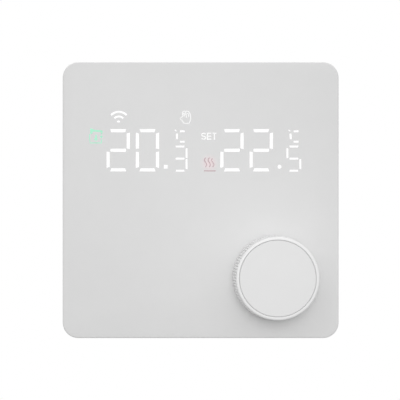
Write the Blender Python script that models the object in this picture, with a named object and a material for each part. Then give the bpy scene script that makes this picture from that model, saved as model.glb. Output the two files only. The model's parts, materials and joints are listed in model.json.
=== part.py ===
"""Wall thermostat: a square front unit with a push-and-turn knob, plugged on to a unit in a wall box.

Metres, +Z up. The wall's surface is y = 0 and +Y goes into the wall, so the front faces -Y. The origin
is midway between the two screws that fasten the mounting frame to the wall box.
"""

import math

import bmesh
import bpy
from mathutils import Vector

for old in list(bpy.data.objects):
    bpy.data.objects.remove(old, do_unlink=True)

MM = 0.001

# Clearances
FIT_GAP = 0.3 * MM  # between two pieces that rest on each other
SLIDE_GAP = 0.5 * MM  # between the front cover and the frame's rim, on each side
THREAD_GAP = 0.15 * MM  # between a screw and its hole, or a shaft and its bore, on the radius
CUT_OVER = 1.0 * MM  # how far a cutting shape runs past the wall that it cuts
ROOT = 0.4 * MM  # how far a joined feature is sunk into the wall that carries it

# Front cover
PLATE_WIDTH = 86.0 * MM
PLATE_HEIGHT = 86.0 * MM
PLATE_CORNER = 4.9 * MM
FRONT_DEPTH = 13.0 * MM  # from the wall's surface to the front face
COVER_WALL = 1.8 * MM
FACE_WALL = 2.0 * MM
WINDOW_WALL = 0.9 * MM  # thin enough for the display to shine through
EDGE_ROUND = 0.4 * MM
EDGE_STEPS = 3
WALL_REVEAL = 0.6 * MM  # the shadow gap between the cover and the wall
VENT_COUNT = 12
VENT_PITCH = 2.6 * MM
VENT_WIDTH = 1.3 * MM
VENT_DEPTH = 2.4 * MM
VENT_X = -14.0 * MM
PRY_NOTCH_WIDTH = 12.0 * MM
PRY_NOTCH_DEPTH = 1.4 * MM

# Mounting frame
FRAME_PLATE = 1.8 * MM
FRAME_RIM = 1.5 * MM
RIM_DEPTH = 7.0 * MM
SNAP_LENGTH = 9.0 * MM
SNAP_PROUD = 0.3 * MM
SNAP_THICKNESS = 1.0 * MM
SNAP_Y = -4.4 * MM
BOX_SCREW_SPACING = 60.0 * MM
BOX_SCREW_RADIUS = 1.9 * MM
BOX_SCREW_HEAD = 3.6 * MM
BOX_SCREW_HEAD_HEIGHT = 1.6 * MM
BOX_SCREW_LENGTH = 24.0 * MM
BOX_SLOT_TRAVEL = 5.0 * MM
BOX_SEAT_DEPTH = 0.7 * MM

# Boards and inner back cover of the front unit
BOARD_THICKNESS = 1.2 * MM
BOARD_EDGE_GAP = 1.2 * MM  # from the frame's rim to the board's edge
LID_THICKNESS = 1.0 * MM
LID_CLEARANCE = 1.0 * MM
LID_BOARD_GAP = 0.4 * MM
BOSS_RADIUS = 2.7 * MM
BOSS_INSET = 3.6 * MM  # from the board's edge to a boss's axis
BOARD_SCREW_RADIUS = 1.0 * MM
BOARD_SCREW_HEAD = 1.9 * MM
BOARD_SCREW_HEAD_HEIGHT = 0.9 * MM
BOARD_SCREW_LENGTH = 5.2 * MM
LID_SEAT_DEPTH = 0.5 * MM  # how deep the board screws' heads are sunk into the lid

# Parts on the main board, with places measured from its lower left corner
RADIO_PLACE = (11.0 * MM, 24.0 * MM)
RADIO_WIDTH = 16.0 * MM
RADIO_HEIGHT = 20.0 * MM
RADIO_BOARD_THICKNESS = 0.8 * MM
RADIO_SHIELD_DEPTH = 2.2 * MM
RADIO_SHIELD_MARGIN = 1.2 * MM
RADIO_AERIAL_HEIGHT = 4.8 * MM  # the strip of board above the shield
CHIP_PLACE = (28.0 * MM, 27.0 * MM)
CHIP_SIZE = 7.0 * MM
CHIP_THICKNESS = 1.0 * MM
BUZZER_PLACE = (28.0 * MM, 14.0 * MM)
BUZZER_RADIUS = 4.5 * MM
BUZZER_DEPTH = 3.6 * MM
BUZZER_PORT_RADIUS = 0.9 * MM
BUZZER_PORT_DEPTH = 1.0 * MM
SENSOR_PLACE = (16.0 * MM, 4.0 * MM)
SENSOR_LENGTH = 2.4 * MM
SENSOR_RADIUS = 1.1 * MM
SENSOR_STAND = 3.0 * MM  # from the board to the bead's axis
SENSOR_LEG_WIDTH = 0.5 * MM
SENSOR_LEG_SPACING = 1.2 * MM

# Display, with places measured from the middle of the plate
DIGIT_WIDTH = 7.3 * MM
DIGIT_HEIGHT = 13.4 * MM
DIGIT_STROKE = 1.2 * MM
DIGIT_Z = 15.6 * MM
DIGIT_CENTRES = (-25.7 * MM, -16.6 * MM, 9.7 * MM, 18.8 * MM)
TENTHS_WIDTH = 4.6 * MM
TENTHS_HEIGHT = 8.1 * MM
TENTHS_STROKE = 0.7 * MM
TENTHS_Z = 13.1 * MM
TENTHS_CENTRES = (-6.4 * MM, 29.0 * MM)
POINT_CENTRES = (-10.8 * MM, 24.6 * MM)
POINT_SIZE = 1.3 * MM
POINT_Z = 10.5 * MM
UNIT_CENTRES = (-6.2 * MM, 29.1 * MM)
UNIT_Z = 19.9 * MM
UNIT_SIZE = 4.0 * MM
SYMBOL_CELLS = (
    # x, z, width, height: radio, manual mode, set, room, heating
    (-25.5 * MM, 26.2 * MM, 5.6 * MM, 4.4 * MM),
    (-4.8 * MM, 25.8 * MM, 3.8 * MM, 4.6 * MM),
    (2.4 * MM, 19.9 * MM, 5.2 * MM, 2.8 * MM),
    (-32.6 * MM, 20.0 * MM, 4.6 * MM, 5.0 * MM),
    (2.8 * MM, 11.4 * MM, 4.2 * MM, 5.2 * MM),
)
REFLECTOR_MARGIN = 1.0 * MM
CELL_GAP = 0.35 * MM  # web left between two light cells
FILM_THICKNESS = 0.3 * MM
LAMP_STRIP_THICKNESS = 0.4 * MM
LAMP_HEIGHT = 0.5 * MM
LAMP_SIZE = 0.7 * MM

# Knob
KNOB_FROM_RIGHT = 20.1 * MM
KNOB_FROM_BOTTOM = 18.9 * MM
KNOB_HEIGHT = 12.0 * MM  # from the plate to the knob's front
KNOB_BASE_RADIUS = 13.1 * MM
KNOB_FRONT_RADIUS = 12.5 * MM
KNOB_LIFT = 0.8 * MM
PRESS_TRAVEL = 0.5 * MM
KNURL_COUNT = 88
KNURL_DEPTH = 0.28 * MM
KNURL_MARGIN = 0.5 * MM
RIM_WIDTH = 1.0 * MM
RIM_ROUND = 0.7 * MM
KNOB_SKIRT_WALL = 1.6 * MM
KNOB_FRONT_WALL = 1.3 * MM
FACE_DISC_THICKNESS = 1.1 * MM
FACE_DISC_GAP = 0.2 * MM
HUB_RADIUS = 4.6 * MM
HUB_SPRING_THICKNESS = 0.5 * MM
HUB_SPRING_WIDTH = 1.2 * MM

# Encoder
SHAFT_RADIUS = 3.0 * MM
SHAFT_FLAT = 1.6 * MM  # from the shaft's axis to its flat
BUSHING_WALL = 0.45 * MM
BUSHING_PROUD = 1.5 * MM
BUSHING_FLANGE = 4.7 * MM
ENCODER_SIZE = 12.4 * MM
ENCODER_WALL = 0.6 * MM
ENCODER_BASE_THICKNESS = 1.9 * MM
SWITCH_RECESS_DEPTH = 1.5 * MM
SWITCH_RECESS_GAP = 0.2 * MM  # round the shaft
ROTOR_RADIUS = 5.1 * MM
ROTOR_THICKNESS = 1.0 * MM
DETENT_COUNT = 20
DETENT_DEPTH = 0.35 * MM
DETENT_SPRING_THICKNESS = 0.25 * MM
PLUNGER_RADIUS = 2.0 * MM
PLUNGER_HEIGHT = 0.5 * MM
DOME_RADIUS = 2.6 * MM
DOME_HEIGHT = 0.3 * MM

# Rear unit
HOUSING_WIDTH = 50.0 * MM
HOUSING_HEIGHT = 50.0 * MM
HOUSING_DEPTH = 26.0 * MM
HOUSING_CORNER = 2.5 * MM
HOUSING_WALL = 1.6 * MM
HOUSING_BOSS = 2.7 * MM
HOUSING_BOSS_LENGTH = 9.0 * MM
HOUSING_SCREW_RADIUS = 1.2 * MM
HOUSING_SCREW_HEAD = 2.1 * MM
HOUSING_SCREW_HEAD_HEIGHT = 0.8 * MM
HOUSING_SCREW_LENGTH = 6.5 * MM
HOUSING_SCREW_SEAT = 1.0 * MM
POWER_BOARD_Y = 4.0 * MM
POWER_BOARD_THICKNESS = 1.6 * MM
POWER_BOARD_NOTCH = 6.0 * MM
LEDGE_DEPTH = 2.0 * MM
LEDGE_WIDTH = 8.0 * MM
LEDGE_PROUD = 1.4 * MM

# Parts on the power board, with the upper row's places measured down from the tub's upper wall
UPPER_ROW = 10.0 * MM
RELAY_WIDTH = 19.0 * MM
RELAY_HEIGHT = 15.5 * MM
RELAY_DEPTH = 15.0 * MM
TRANSFORMER_X = 10.5 * MM
BOBBIN_WIDTH = 14.0 * MM
BOBBIN_HEIGHT = 10.0 * MM
BOBBIN_DEPTH = 13.5 * MM
CORE_WIDTH = 8.0 * MM
CORE_HEIGHT = 14.0 * MM
CORE_FOOT = 3.0 * MM
CORE_DEPTH = 8.0 * MM
LOWER_ROW_Z = -2.0 * MM
SMOOTHING_X = -15.0 * MM
SMOOTHING_RADIUS = 4.0 * MM
SMOOTHING_DEPTH = 12.0 * MM
FILM_BOX_X = -2.0 * MM
FILM_BOX_WIDTH = 13.0 * MM
FILM_BOX_HEIGHT = 6.0 * MM
FILM_BOX_DEPTH = 11.0 * MM
VARISTOR_X = 9.5 * MM
VARISTOR_Z = -5.0 * MM
VARISTOR_RADIUS = 4.2 * MM
VARISTOR_THICKNESS = 3.2 * MM
VARISTOR_STAND = 5.4 * MM  # from the power board to the disc's axis
LEAD_WIDTH = 0.7 * MM
LEAD_SPACING = 5.0 * MM
FUSE_X = 17.0 * MM
FUSE_RADIUS = 4.1 * MM
FUSE_DEPTH = 8.0 * MM
CAN_FOOT = 1.6 * MM
CAN_GROOVE = 0.35 * MM
CASE_CORNER = 0.6 * MM
CASE_EDGE = 0.4 * MM

# Plug and socket between the two units
PIN_COLUMNS = 4
PIN_ROWS = 2
PIN_PITCH = 2.54 * MM
PIN_WIDTH = 0.64 * MM
PIN_HOLE_WIDTH = 1.0 * MM
PLUG_X = -2.0 * MM
PLUG_Z = -14.0 * MM
PLUG_BODY_DEPTH = 2.0 * MM
PLUG_MARGIN = 0.5 * MM
SOCKET_FRONT_Y = -1.2 * MM
PIN_ENGAGEMENT = 4.0 * MM

# Terminals
TERMINAL_COUNT = 6
TERMINAL_PITCH = 7.2 * MM
TERMINAL_HEIGHT = 12.0 * MM
TERMINAL_DEPTH = 14.0 * MM
WIRE_ENTRY_WIDTH = 4.8 * MM
WIRE_ENTRY_DEPTH = 5.0 * MM
WIRE_ENTRY_LENGTH = 10.0 * MM
WIRE_ENTRY_FROM_FRONT = 3.0 * MM
TERMINAL_SCREW_Z = 6.4 * MM  # from the block's lower face
TERMINAL_SCREW_RADIUS = 1.2 * MM
TERMINAL_SCREW_HEAD = 2.1 * MM
TERMINAL_SCREW_HEAD_HEIGHT = 1.8 * MM
TERMINAL_SCREW_LENGTH = 3.4 * MM
CLAMP_HEIGHT = 4.8 * MM
CLAMP_WALL = 0.7 * MM
DRIVER_SLOT_WIDTH = 0.6 * MM
DRIVER_SLOT_DEPTH = 0.8 * MM

# Depths that follow
FACE_Y = -FRONT_DEPTH
FACE_INNER_Y = FACE_Y + FACE_WALL
WINDOW_INNER_Y = FACE_Y + WINDOW_WALL
COVER_BACK_Y = -WALL_REVEAL
FRAME_FRONT_Y = -FRAME_PLATE
LID_BACK_Y = FRAME_FRONT_Y - LID_CLEARANCE
LID_FRONT_Y = LID_BACK_Y - LID_THICKNESS
BOARD_BACK_Y = LID_FRONT_Y - LID_BOARD_GAP
BOARD_FRONT_Y = BOARD_BACK_Y - BOARD_THICKNESS
BOARD_PARTS_Y = BOARD_FRONT_Y - FIT_GAP
BOARD_SCREW_SEAT_Y = LID_BACK_Y - LID_SEAT_DEPTH + FIT_GAP
LAMP_BACK_Y = BOARD_FRONT_Y - FIT_GAP
LAMP_FRONT_Y = LAMP_BACK_Y - LAMP_STRIP_THICKNESS - LAMP_HEIGHT
FILM_FRONT_Y = WINDOW_INNER_Y + FIT_GAP
REFLECTOR_FRONT_Y = FILM_FRONT_Y + FILM_THICKNESS + FIT_GAP
KNOB_BACK_Y = FACE_Y - KNOB_LIFT
KNOB_FRONT_Y = FACE_Y - KNOB_HEIGHT
FACE_RECESS_Y = KNOB_FRONT_Y + FACE_DISC_THICKNESS + FIT_GAP
KNOB_CAVITY_Y = FACE_RECESS_Y + KNOB_FRONT_WALL
BUSHING_FRONT_Y = FACE_Y - BUSHING_PROUD
HUB_BACK_Y = BUSHING_FRONT_Y - PRESS_TRAVEL - FIT_GAP
ENCODER_BASE_BACK_Y = BOARD_FRONT_Y - FIT_GAP
ENCODER_BASE_FRONT_Y = ENCODER_BASE_BACK_Y - ENCODER_BASE_THICKNESS
ENCODER_CAP_FRONT_Y = FACE_INNER_Y + FIT_GAP
ROTOR_BACK_Y = ENCODER_BASE_FRONT_Y - FIT_GAP
ROTOR_FRONT_Y = ROTOR_BACK_Y - ROTOR_THICKNESS
SHAFT_BACK_Y = ENCODER_BASE_FRONT_Y
SWITCH_FLOOR_Y = ENCODER_BASE_FRONT_Y + SWITCH_RECESS_DEPTH
SWITCH_RECESS_RADIUS = SHAFT_RADIUS + SWITCH_RECESS_GAP
PLUNGER_FRONT_Y = SHAFT_BACK_Y + FIT_GAP
POWER_BOARD_BACK_Y = POWER_BOARD_Y + POWER_BOARD_THICKNESS
HOUSING_FRONT_Y = FIT_GAP
PARTS_Y = POWER_BOARD_BACK_Y + FIT_GAP

# Widths and places that follow
KNOB_X = PLATE_WIDTH / 2 - KNOB_FROM_RIGHT
KNOB_Z = KNOB_FROM_BOTTOM - PLATE_HEIGHT / 2
FRAME_WIDTH = PLATE_WIDTH - 2 * (COVER_WALL + SLIDE_GAP)
FRAME_HEIGHT = PLATE_HEIGHT - 2 * (COVER_WALL + SLIDE_GAP)
FRAME_CORNER = PLATE_CORNER - COVER_WALL - SLIDE_GAP
BOARD_WIDTH = FRAME_WIDTH - 2 * (FRAME_RIM + BOARD_EDGE_GAP)
BOARD_HEIGHT = FRAME_HEIGHT - 2 * (FRAME_RIM + BOARD_EDGE_GAP)
BOSS_X = BOARD_WIDTH / 2 - BOSS_INSET
BOSS_Z = BOARD_HEIGHT / 2 - BOSS_INSET
HOUSING_INNER_X = HOUSING_WIDTH / 2 - HOUSING_WALL
HOUSING_INNER_Z = HOUSING_HEIGHT / 2 - HOUSING_WALL
HOUSING_BOSS_X = HOUSING_INNER_X - HOUSING_BOSS + ROOT
HOUSING_BOSS_Z = HOUSING_INNER_Z - HOUSING_BOSS + ROOT
RELAY_X = RELAY_WIDTH / 2 - (HOUSING_BOSS_X - HOUSING_BOSS - FIT_GAP)
PLUG_WIDTH = PIN_COLUMNS * PIN_PITCH + 2 * PLUG_MARGIN
PLUG_HEIGHT = PIN_ROWS * PIN_PITCH + 2 * PLUG_MARGIN
TERMINAL_WIDTH = TERMINAL_COUNT * TERMINAL_PITCH + (TERMINAL_PITCH - WIRE_ENTRY_WIDTH)
TERMINAL_LOW_Z = -HOUSING_HEIGHT / 2
TERMINAL_BACK_Y = HOUSING_FRONT_Y + HOUSING_DEPTH
TERMINAL_FRONT_Y = TERMINAL_BACK_Y - TERMINAL_DEPTH
WIRE_ENTRY_Y = TERMINAL_FRONT_Y + WIRE_ENTRY_FROM_FRONT
CORNERS = {
    "upper_left": (-1, 1),
    "upper_right": (1, 1),
    "lower_left": (-1, -1),
    "lower_right": (1, -1),
}


# Finishes -------------------------------------------------------------------------------------


def finish(name, colour, roughness, metallic=0.0):
    """A plain material for one kind of stuff, with its colour as (red, green, blue)."""
    material = bpy.data.materials.new(name)
    material.use_nodes = True
    shader = material.node_tree.nodes["Principled BSDF"]
    shader.inputs["Base Color"].default_value = (*colour, 1.0)
    shader.inputs["Roughness"].default_value = roughness
    shader.inputs["Metallic"].default_value = metallic
    material.diffuse_color = (*colour, 1.0)
    return material


COVER_PLASTIC = finish("cover_plastic", (0.72, 0.72, 0.72), 0.45)
KNOB_PLASTIC = finish("knob_plastic", (0.78, 0.78, 0.78), 0.4)
INNER_PLASTIC = finish("inner_plastic", (0.62, 0.62, 0.60), 0.5)
FILM = finish("diffuser_film", (0.85, 0.87, 0.88), 0.35)
BOARD = finish("circuit_board", (0.02, 0.14, 0.05), 0.5)
LAMP = finish("lamp_strip", (0.85, 0.82, 0.62), 0.4)
BLACK_PLASTIC = finish("black_plastic", (0.02, 0.02, 0.02), 0.4)
SHIELD = finish("shield_tin", (0.62, 0.62, 0.60), 0.3, 1.0)
STEEL = finish("steel", (0.55, 0.55, 0.55), 0.35, 1.0)
BRASS = finish("brass", (0.72, 0.52, 0.22), 0.35, 1.0)
TERMINAL_PLASTIC = finish("terminal_plastic", (0.05, 0.22, 0.10), 0.45)
CAPACITOR_SLEEVE = finish("capacitor_sleeve", (0.03, 0.04, 0.10), 0.35)
FILM_BOX = finish("film_box", (0.55, 0.38, 0.05), 0.45)
CERAMIC = finish("ceramic", (0.04, 0.10, 0.30), 0.4)
RELAY_BOX = finish("relay_box", (0.05, 0.12, 0.30), 0.4)
TAPE = finish("winding_tape", (0.62, 0.42, 0.05), 0.5)


# Shapes: each is (rings of points, True if the last ring joins the first) ----------------------


def circle(radius, count):
    """Points of a circle, counter-clockwise."""
    step = math.tau / count
    return [(radius * math.cos(i * step), radius * math.sin(i * step)) for i in range(count)]


def rounded(width, height, radius, steps=6, x=0.0, z=0.0):
    """A rectangle's outline with round corners."""
    points = []
    signs = ((1, 1), (-1, 1), (-1, -1), (1, -1))
    for quarter, (side_x, side_z) in enumerate(signs):
        centre_x = x + side_x * (width / 2 - radius)
        centre_z = z + side_z * (height / 2 - radius)
        for step in range(steps + 1):
            angle = math.pi / 2 * (quarter + step / steps)
            points.append((centre_x + radius * math.cos(angle), centre_z + radius * math.sin(angle)))
    return points


def at_depth(outline, y):
    """An (x, z) outline stood at depth y."""
    return [(x, y, z) for x, z in outline]


def prism(outline, front_y, back_y):
    """An (x, z) outline drawn out along Y."""
    return [at_depth(outline, front_y), at_depth(outline, back_y)], False


def block(low, high):
    """A box between two corners."""
    (x0, y0, z0), (x1, y1, z1) = low, high
    return prism([(x0, z0), (x1, z0), (x1, z1), (x0, z1)], y0, y1)


def centred_block(x, z, width, height, front_y, back_y):
    """A box centred on (x, z)."""
    return block(
        (x - width / 2, front_y, z - height / 2),
        (x + width / 2, back_y, z + height / 2),
    )


def rod(start, end, radius, count=24):
    """A round bar between two points."""
    start, end = Vector(start), Vector(end)
    turn = (end - start).to_track_quat("Z", "Y")
    ends = []
    for place in (start, end):
        ends.append([place + turn @ Vector((u, v, 0.0)) for u, v in circle(radius, count)])
    return ends, False


def turned(profile, x=0.0, z=0.0, count=32, hollow=False):
    """A profile of (radius, y) points turned about the line along Y through (x, z)."""
    rings = []
    for radius, y in profile:
        rings.append([(x + u, y, z + v) for u, v in circle(radius, count)])
    return rings, hollow


def cross_slot(x, z, length, width, front_y, back_y):
    """A plus-shaped recess for a cross-head driver."""
    arm, half = length / 2, width / 2
    quarter = [(arm, -half), (arm, half), (half, half)]
    outline = []
    for _ in range(4):
        outline += [(x + u, z + v) for u, v in quarter]
        quarter = [(-v, u) for u, v in quarter]
    return prism(outline, front_y, back_y)


def bridge(mesh, ring, following):
    """Joins two rings of vertices, of equal count or one with twice as many points."""
    if len(ring) == len(following):
        for i in range(len(ring)):
            j = (i + 1) % len(ring)
            mesh.faces.new((ring[i], ring[j], following[j], following[i]))
        return
    fine, coarse = (ring, following) if len(ring) > len(following) else (following, ring)
    for i in range(len(coarse)):
        j = (i + 1) % len(coarse)
        mesh.faces.new((fine[2 * i], fine[2 * i + 1], coarse[i]))
        mesh.faces.new((fine[2 * i + 1], fine[2 * j], coarse[j], coarse[i]))


def fill(mesh, shape):
    """Adds one closed shape to a bmesh."""
    rings, hollow = shape
    made = [[mesh.verts.new(point) for point in ring] for ring in rings]
    for ring, following in zip(made, made[1:]):
        bridge(mesh, ring, following)
    if hollow:
        bridge(mesh, made[-1], made[0])
    else:
        mesh.faces.new(made[0])
        mesh.faces.new(made[-1])


def mesh_of(name, shapes):
    """A mesh that holds closed shapes, with their faces pointing out."""
    mesh = bmesh.new()
    for shape in shapes:
        fill(mesh, shape)
    bmesh.ops.recalc_face_normals(mesh, faces=mesh.faces[:])
    data = bpy.data.meshes.new(name)
    mesh.to_mesh(data)
    mesh.free()
    return data


def piece(name, shape, material, parent=None):
    """One sub-part, as a named object of its own."""
    data = mesh_of(name, [shape])
    data.materials.append(material)
    data.shade_smooth()
    data.set_sharp_from_angle(angle=math.radians(35))
    made = bpy.data.objects.new(name, data)
    bpy.context.collection.objects.link(made)
    made.parent = parent
    return made


def work(target, operation, shapes):
    """Joins shapes to a sub-part or cuts them out of it. The shapes don't touch each other."""
    name = f"{target.name}_{operation.lower()}_{len(target.modifiers)}"
    tool = bpy.data.objects.new(name, mesh_of(name, shapes))
    bpy.context.collection.objects.link(tool)
    tool.parent = target
    tool.hide_render = True
    tool.display_type = "WIRE"
    boolean = target.modifiers.new(name, "BOOLEAN")
    boolean.operation = operation
    boolean.solver = "EXACT"
    boolean.object = tool


def join(target, shapes):
    work(target, "UNION", shapes)


def cut(target, shapes):
    work(target, "DIFFERENCE", shapes)


def copy_of(original, name, location, parent=None):
    """Another object with the evaluated mesh of the first one."""
    bpy.context.view_layer.update()
    graph = bpy.context.evaluated_depsgraph_get()
    data = bpy.data.meshes.new_from_object(original.evaluated_get(graph))
    made = bpy.data.objects.new(name, data)
    bpy.context.collection.objects.link(made)
    made.location = location
    made.parent = parent
    return made


def empty(name, location, parent=None):
    """An axis that moving pieces are parented to."""
    made = bpy.data.objects.new(name, None)
    made.empty_display_size = 5.0 * MM
    bpy.context.collection.objects.link(made)
    made.location = location
    made.parent = parent
    return made


# Front unit -----------------------------------------------------------------------------------


def wall_shapes(width, height, make):
    """The shapes that make(side, along_x) gives for the left, right, lower and upper wall."""
    shapes = []
    for side, along_x in ((-1, False), (1, False), (-1, True), (1, True)):
        distance = (height if along_x else width) / 2
        shapes.append(make(side, along_x, distance))
    return shapes


def on_wall(side, along_x, near, far, length, front_y, back_y):
    """A box from near to far off the middle, along one of the four walls."""
    low, high = sorted((side * near, side * far))
    if along_x:
        return block((-length / 2, front_y, low), (length / 2, back_y, high))
    return block((low, front_y, -length / 2), (high, back_y, length / 2))


def front_cover(parent):
    """The moulded shell: flat face, rounded edge, thin window wall, four bosses and snap ribs."""
    inner = rounded(
        PLATE_WIDTH - 2 * COVER_WALL,
        PLATE_HEIGHT - 2 * COVER_WALL,
        PLATE_CORNER - COVER_WALL,
    )
    outer = rounded(PLATE_WIDTH, PLATE_HEIGHT, PLATE_CORNER)
    rings = [
        at_depth(inner, FACE_INNER_Y),
        at_depth(inner, COVER_BACK_Y),
        at_depth(outer, COVER_BACK_Y),
    ]
    for step in range(EDGE_STEPS + 1):
        angle = math.pi / 2 * step / EDGE_STEPS
        inset = EDGE_ROUND * (1 - math.cos(angle))
        depth = FACE_Y + EDGE_ROUND * (1 - math.sin(angle))
        edge = rounded(PLATE_WIDTH - 2 * inset, PLATE_HEIGHT - 2 * inset, PLATE_CORNER - inset)
        rings.append(at_depth(edge, depth))
    cover = piece("front_cover", (rings, False), COVER_PLASTIC, parent)

    additions = []
    for side_x, side_z in CORNERS.values():
        start = (side_x * BOSS_X, FACE_INNER_Y - ROOT, side_z * BOSS_Z)
        end = (side_x * BOSS_X, BOARD_PARTS_Y, side_z * BOSS_Z)
        additions.append(rod(start, end, BOSS_RADIUS, 20))

    def snap_rib(side, along_x, distance):
        face = distance - COVER_WALL
        edges = (SNAP_Y - SNAP_THICKNESS / 2, SNAP_Y + SNAP_THICKNESS / 2)
        length = SNAP_LENGTH - 2 * SLIDE_GAP
        return on_wall(side, along_x, face - SNAP_PROUD, face + ROOT, length, *edges)

    additions += wall_shapes(PLATE_WIDTH, PLATE_HEIGHT, snap_rib)
    join(cover, additions)

    low, high = display_extent()
    margin = REFLECTOR_MARGIN + FIT_GAP
    cuts = [
        block(
            (low[0] - margin, WINDOW_INNER_Y, low[1] - margin),
            (high[0] + margin, FACE_INNER_Y + CUT_OVER, high[1] + margin),
        ),
        rod(
            (KNOB_X, FACE_Y - CUT_OVER, KNOB_Z),
            (KNOB_X, FACE_INNER_Y + CUT_OVER, KNOB_Z),
            SHAFT_RADIUS + THREAD_GAP + BUSHING_WALL + FIT_GAP,
        ),
    ]
    pilot = BOARD_SCREW_RADIUS + THREAD_GAP
    for side_x, side_z in CORNERS.values():
        pilot_front = BOARD_SCREW_SEAT_Y - BOARD_SCREW_LENGTH - FIT_GAP
        start = (side_x * BOSS_X, pilot_front, side_z * BOSS_Z)
        end = (side_x * BOSS_X, BOARD_FRONT_Y + CUT_OVER, side_z * BOSS_Z)
        cuts.append(rod(start, end, pilot, 12))
    vent_back = -RIM_DEPTH - SLIDE_GAP
    for side in (-1, 1):
        for i in range(VENT_COUNT):
            x = VENT_X + (i - (VENT_COUNT - 1) / 2) * VENT_PITCH
            near = side * (PLATE_HEIGHT / 2 - COVER_WALL - ROOT)
            far = side * (PLATE_HEIGHT / 2 + CUT_OVER)
            cuts.append(
                block(
                    (x - VENT_WIDTH / 2, vent_back - VENT_DEPTH, min(near, far)),
                    (x + VENT_WIDTH / 2, vent_back, max(near, far)),
                )
            )
    cuts.append(
        block(
            (-PRY_NOTCH_WIDTH / 2, COVER_BACK_Y - PRY_NOTCH_DEPTH, -PLATE_HEIGHT / 2 - CUT_OVER),
            (PRY_NOTCH_WIDTH / 2, COVER_BACK_Y + CUT_OVER, -PLATE_HEIGHT / 2 + COVER_WALL + ROOT),
        )
    )
    cut(cover, cuts)
    return cover


def segment_cells(x, z, width, height, stroke):
    """The seven light cells of one digit, as (x, z, width, height)."""
    across = width - 2 * stroke - 2 * CELL_GAP
    upright = (height - 3 * stroke) / 2 - 2 * CELL_GAP + stroke / 2
    side_x = (width - stroke) / 2
    level = (height - stroke) / 2
    cells = [(x, z + level, across, stroke), (x, z, across, stroke), (x, z - level, across, stroke)]
    for side in (-1, 1):
        for half in (-1, 1):
            cells.append((x + side * side_x, z + half * level / 2, stroke, upright))
    return cells


def display_cells():
    """Every light cell, in three groups: room temperature, set temperature and symbols."""
    groups = {"room": [], "set": [], "symbol": list(SYMBOL_CELLS)}
    for i, x in enumerate(DIGIT_CENTRES):
        side = "room" if i < 2 else "set"
        groups[side] += segment_cells(x, DIGIT_Z, DIGIT_WIDTH, DIGIT_HEIGHT, DIGIT_STROKE)
    for side, tenths, point, unit in zip(("room", "set"), TENTHS_CENTRES, POINT_CENTRES, UNIT_CENTRES):
        groups[side] += segment_cells(tenths, TENTHS_Z, TENTHS_WIDTH, TENTHS_HEIGHT, TENTHS_STROKE)
        groups[side].append((point, POINT_Z, POINT_SIZE, POINT_SIZE))
        groups[side].append((unit, UNIT_Z, UNIT_SIZE, UNIT_SIZE))
    return groups


def extent_of(cells):
    """The lowest and highest (x, z) that cells reach."""
    low = [min(cell[axis] - cell[axis + 2] / 2 for cell in cells) for axis in (0, 1)]
    high = [max(cell[axis] + cell[axis + 2] / 2 for cell in cells) for axis in (0, 1)]
    return low, high


def display_extent():
    return extent_of([cell for group in display_cells().values() for cell in group])


def display_stack(parent):
    """The diffuser film and the reflector block with one light cell for each segment."""
    low, high = display_extent()
    margin = REFLECTOR_MARGIN
    low = [value - margin for value in low]
    high = [value + margin for value in high]
    piece(
        "display_diffuser",
        block((low[0], FILM_FRONT_Y, low[1]), (high[0], FILM_FRONT_Y + FILM_THICKNESS, high[1])),
        FILM,
        parent,
    )
    reflector_back = LAMP_FRONT_Y - FIT_GAP
    reflector = piece(
        "segment_reflector",
        block((low[0], REFLECTOR_FRONT_Y, low[1]), (high[0], reflector_back, high[1])),
        INNER_PLASTIC,
        parent,
    )
    windows = []
    for group in display_cells().values():
        for x, z, width, height in group:
            ends = (REFLECTOR_FRONT_Y - CUT_OVER, reflector_back + CUT_OVER)
            windows.append(centred_block(x, z, width, height, *ends))
    cut(reflector, windows)


def lamp_strips(parent):
    """A thin strip behind each group of digits, with one lamp under each cell."""
    cells = display_cells()
    for side, name in (("room", "room_digit_lamps"), ("set", "set_digit_lamps")):
        low, high = extent_of(cells[side])
        strip_front = LAMP_BACK_Y - LAMP_STRIP_THICKNESS
        strip = piece(
            name,
            block((low[0], strip_front, low[1]), (high[0], LAMP_BACK_Y, high[1])),
            LAMP,
            parent,
        )
        lamps = []
        lamp_root = strip_front + LAMP_STRIP_THICKNESS / 2
        for x, z, _, _ in cells[side]:
            lamps.append(centred_block(x, z, LAMP_SIZE, LAMP_SIZE, LAMP_FRONT_Y, lamp_root))
        join(strip, lamps)


def main_board(parent):
    """The front unit's circuit board, with its screw holes."""
    board = piece(
        "main_board",
        prism(rounded(BOARD_WIDTH, BOARD_HEIGHT, 1.5 * MM, 3), BOARD_FRONT_Y, BOARD_BACK_Y),
        BOARD,
        parent,
    )
    holes = []
    for side_x, side_z in CORNERS.values():
        centre = (side_x * BOSS_X, side_z * BOSS_Z)
        start = (centre[0], BOARD_FRONT_Y - CUT_OVER, centre[1])
        end = (centre[0], BOARD_BACK_Y + CUT_OVER, centre[1])
        holes.append(rod(start, end, BOARD_SCREW_RADIUS + FIT_GAP, 12))
    cut(board, holes)


def on_board(place):
    """The (x, z) of a place measured from the main board's lower left corner."""
    return place[0] - BOARD_WIDTH / 2, place[1] - BOARD_HEIGHT / 2


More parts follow.
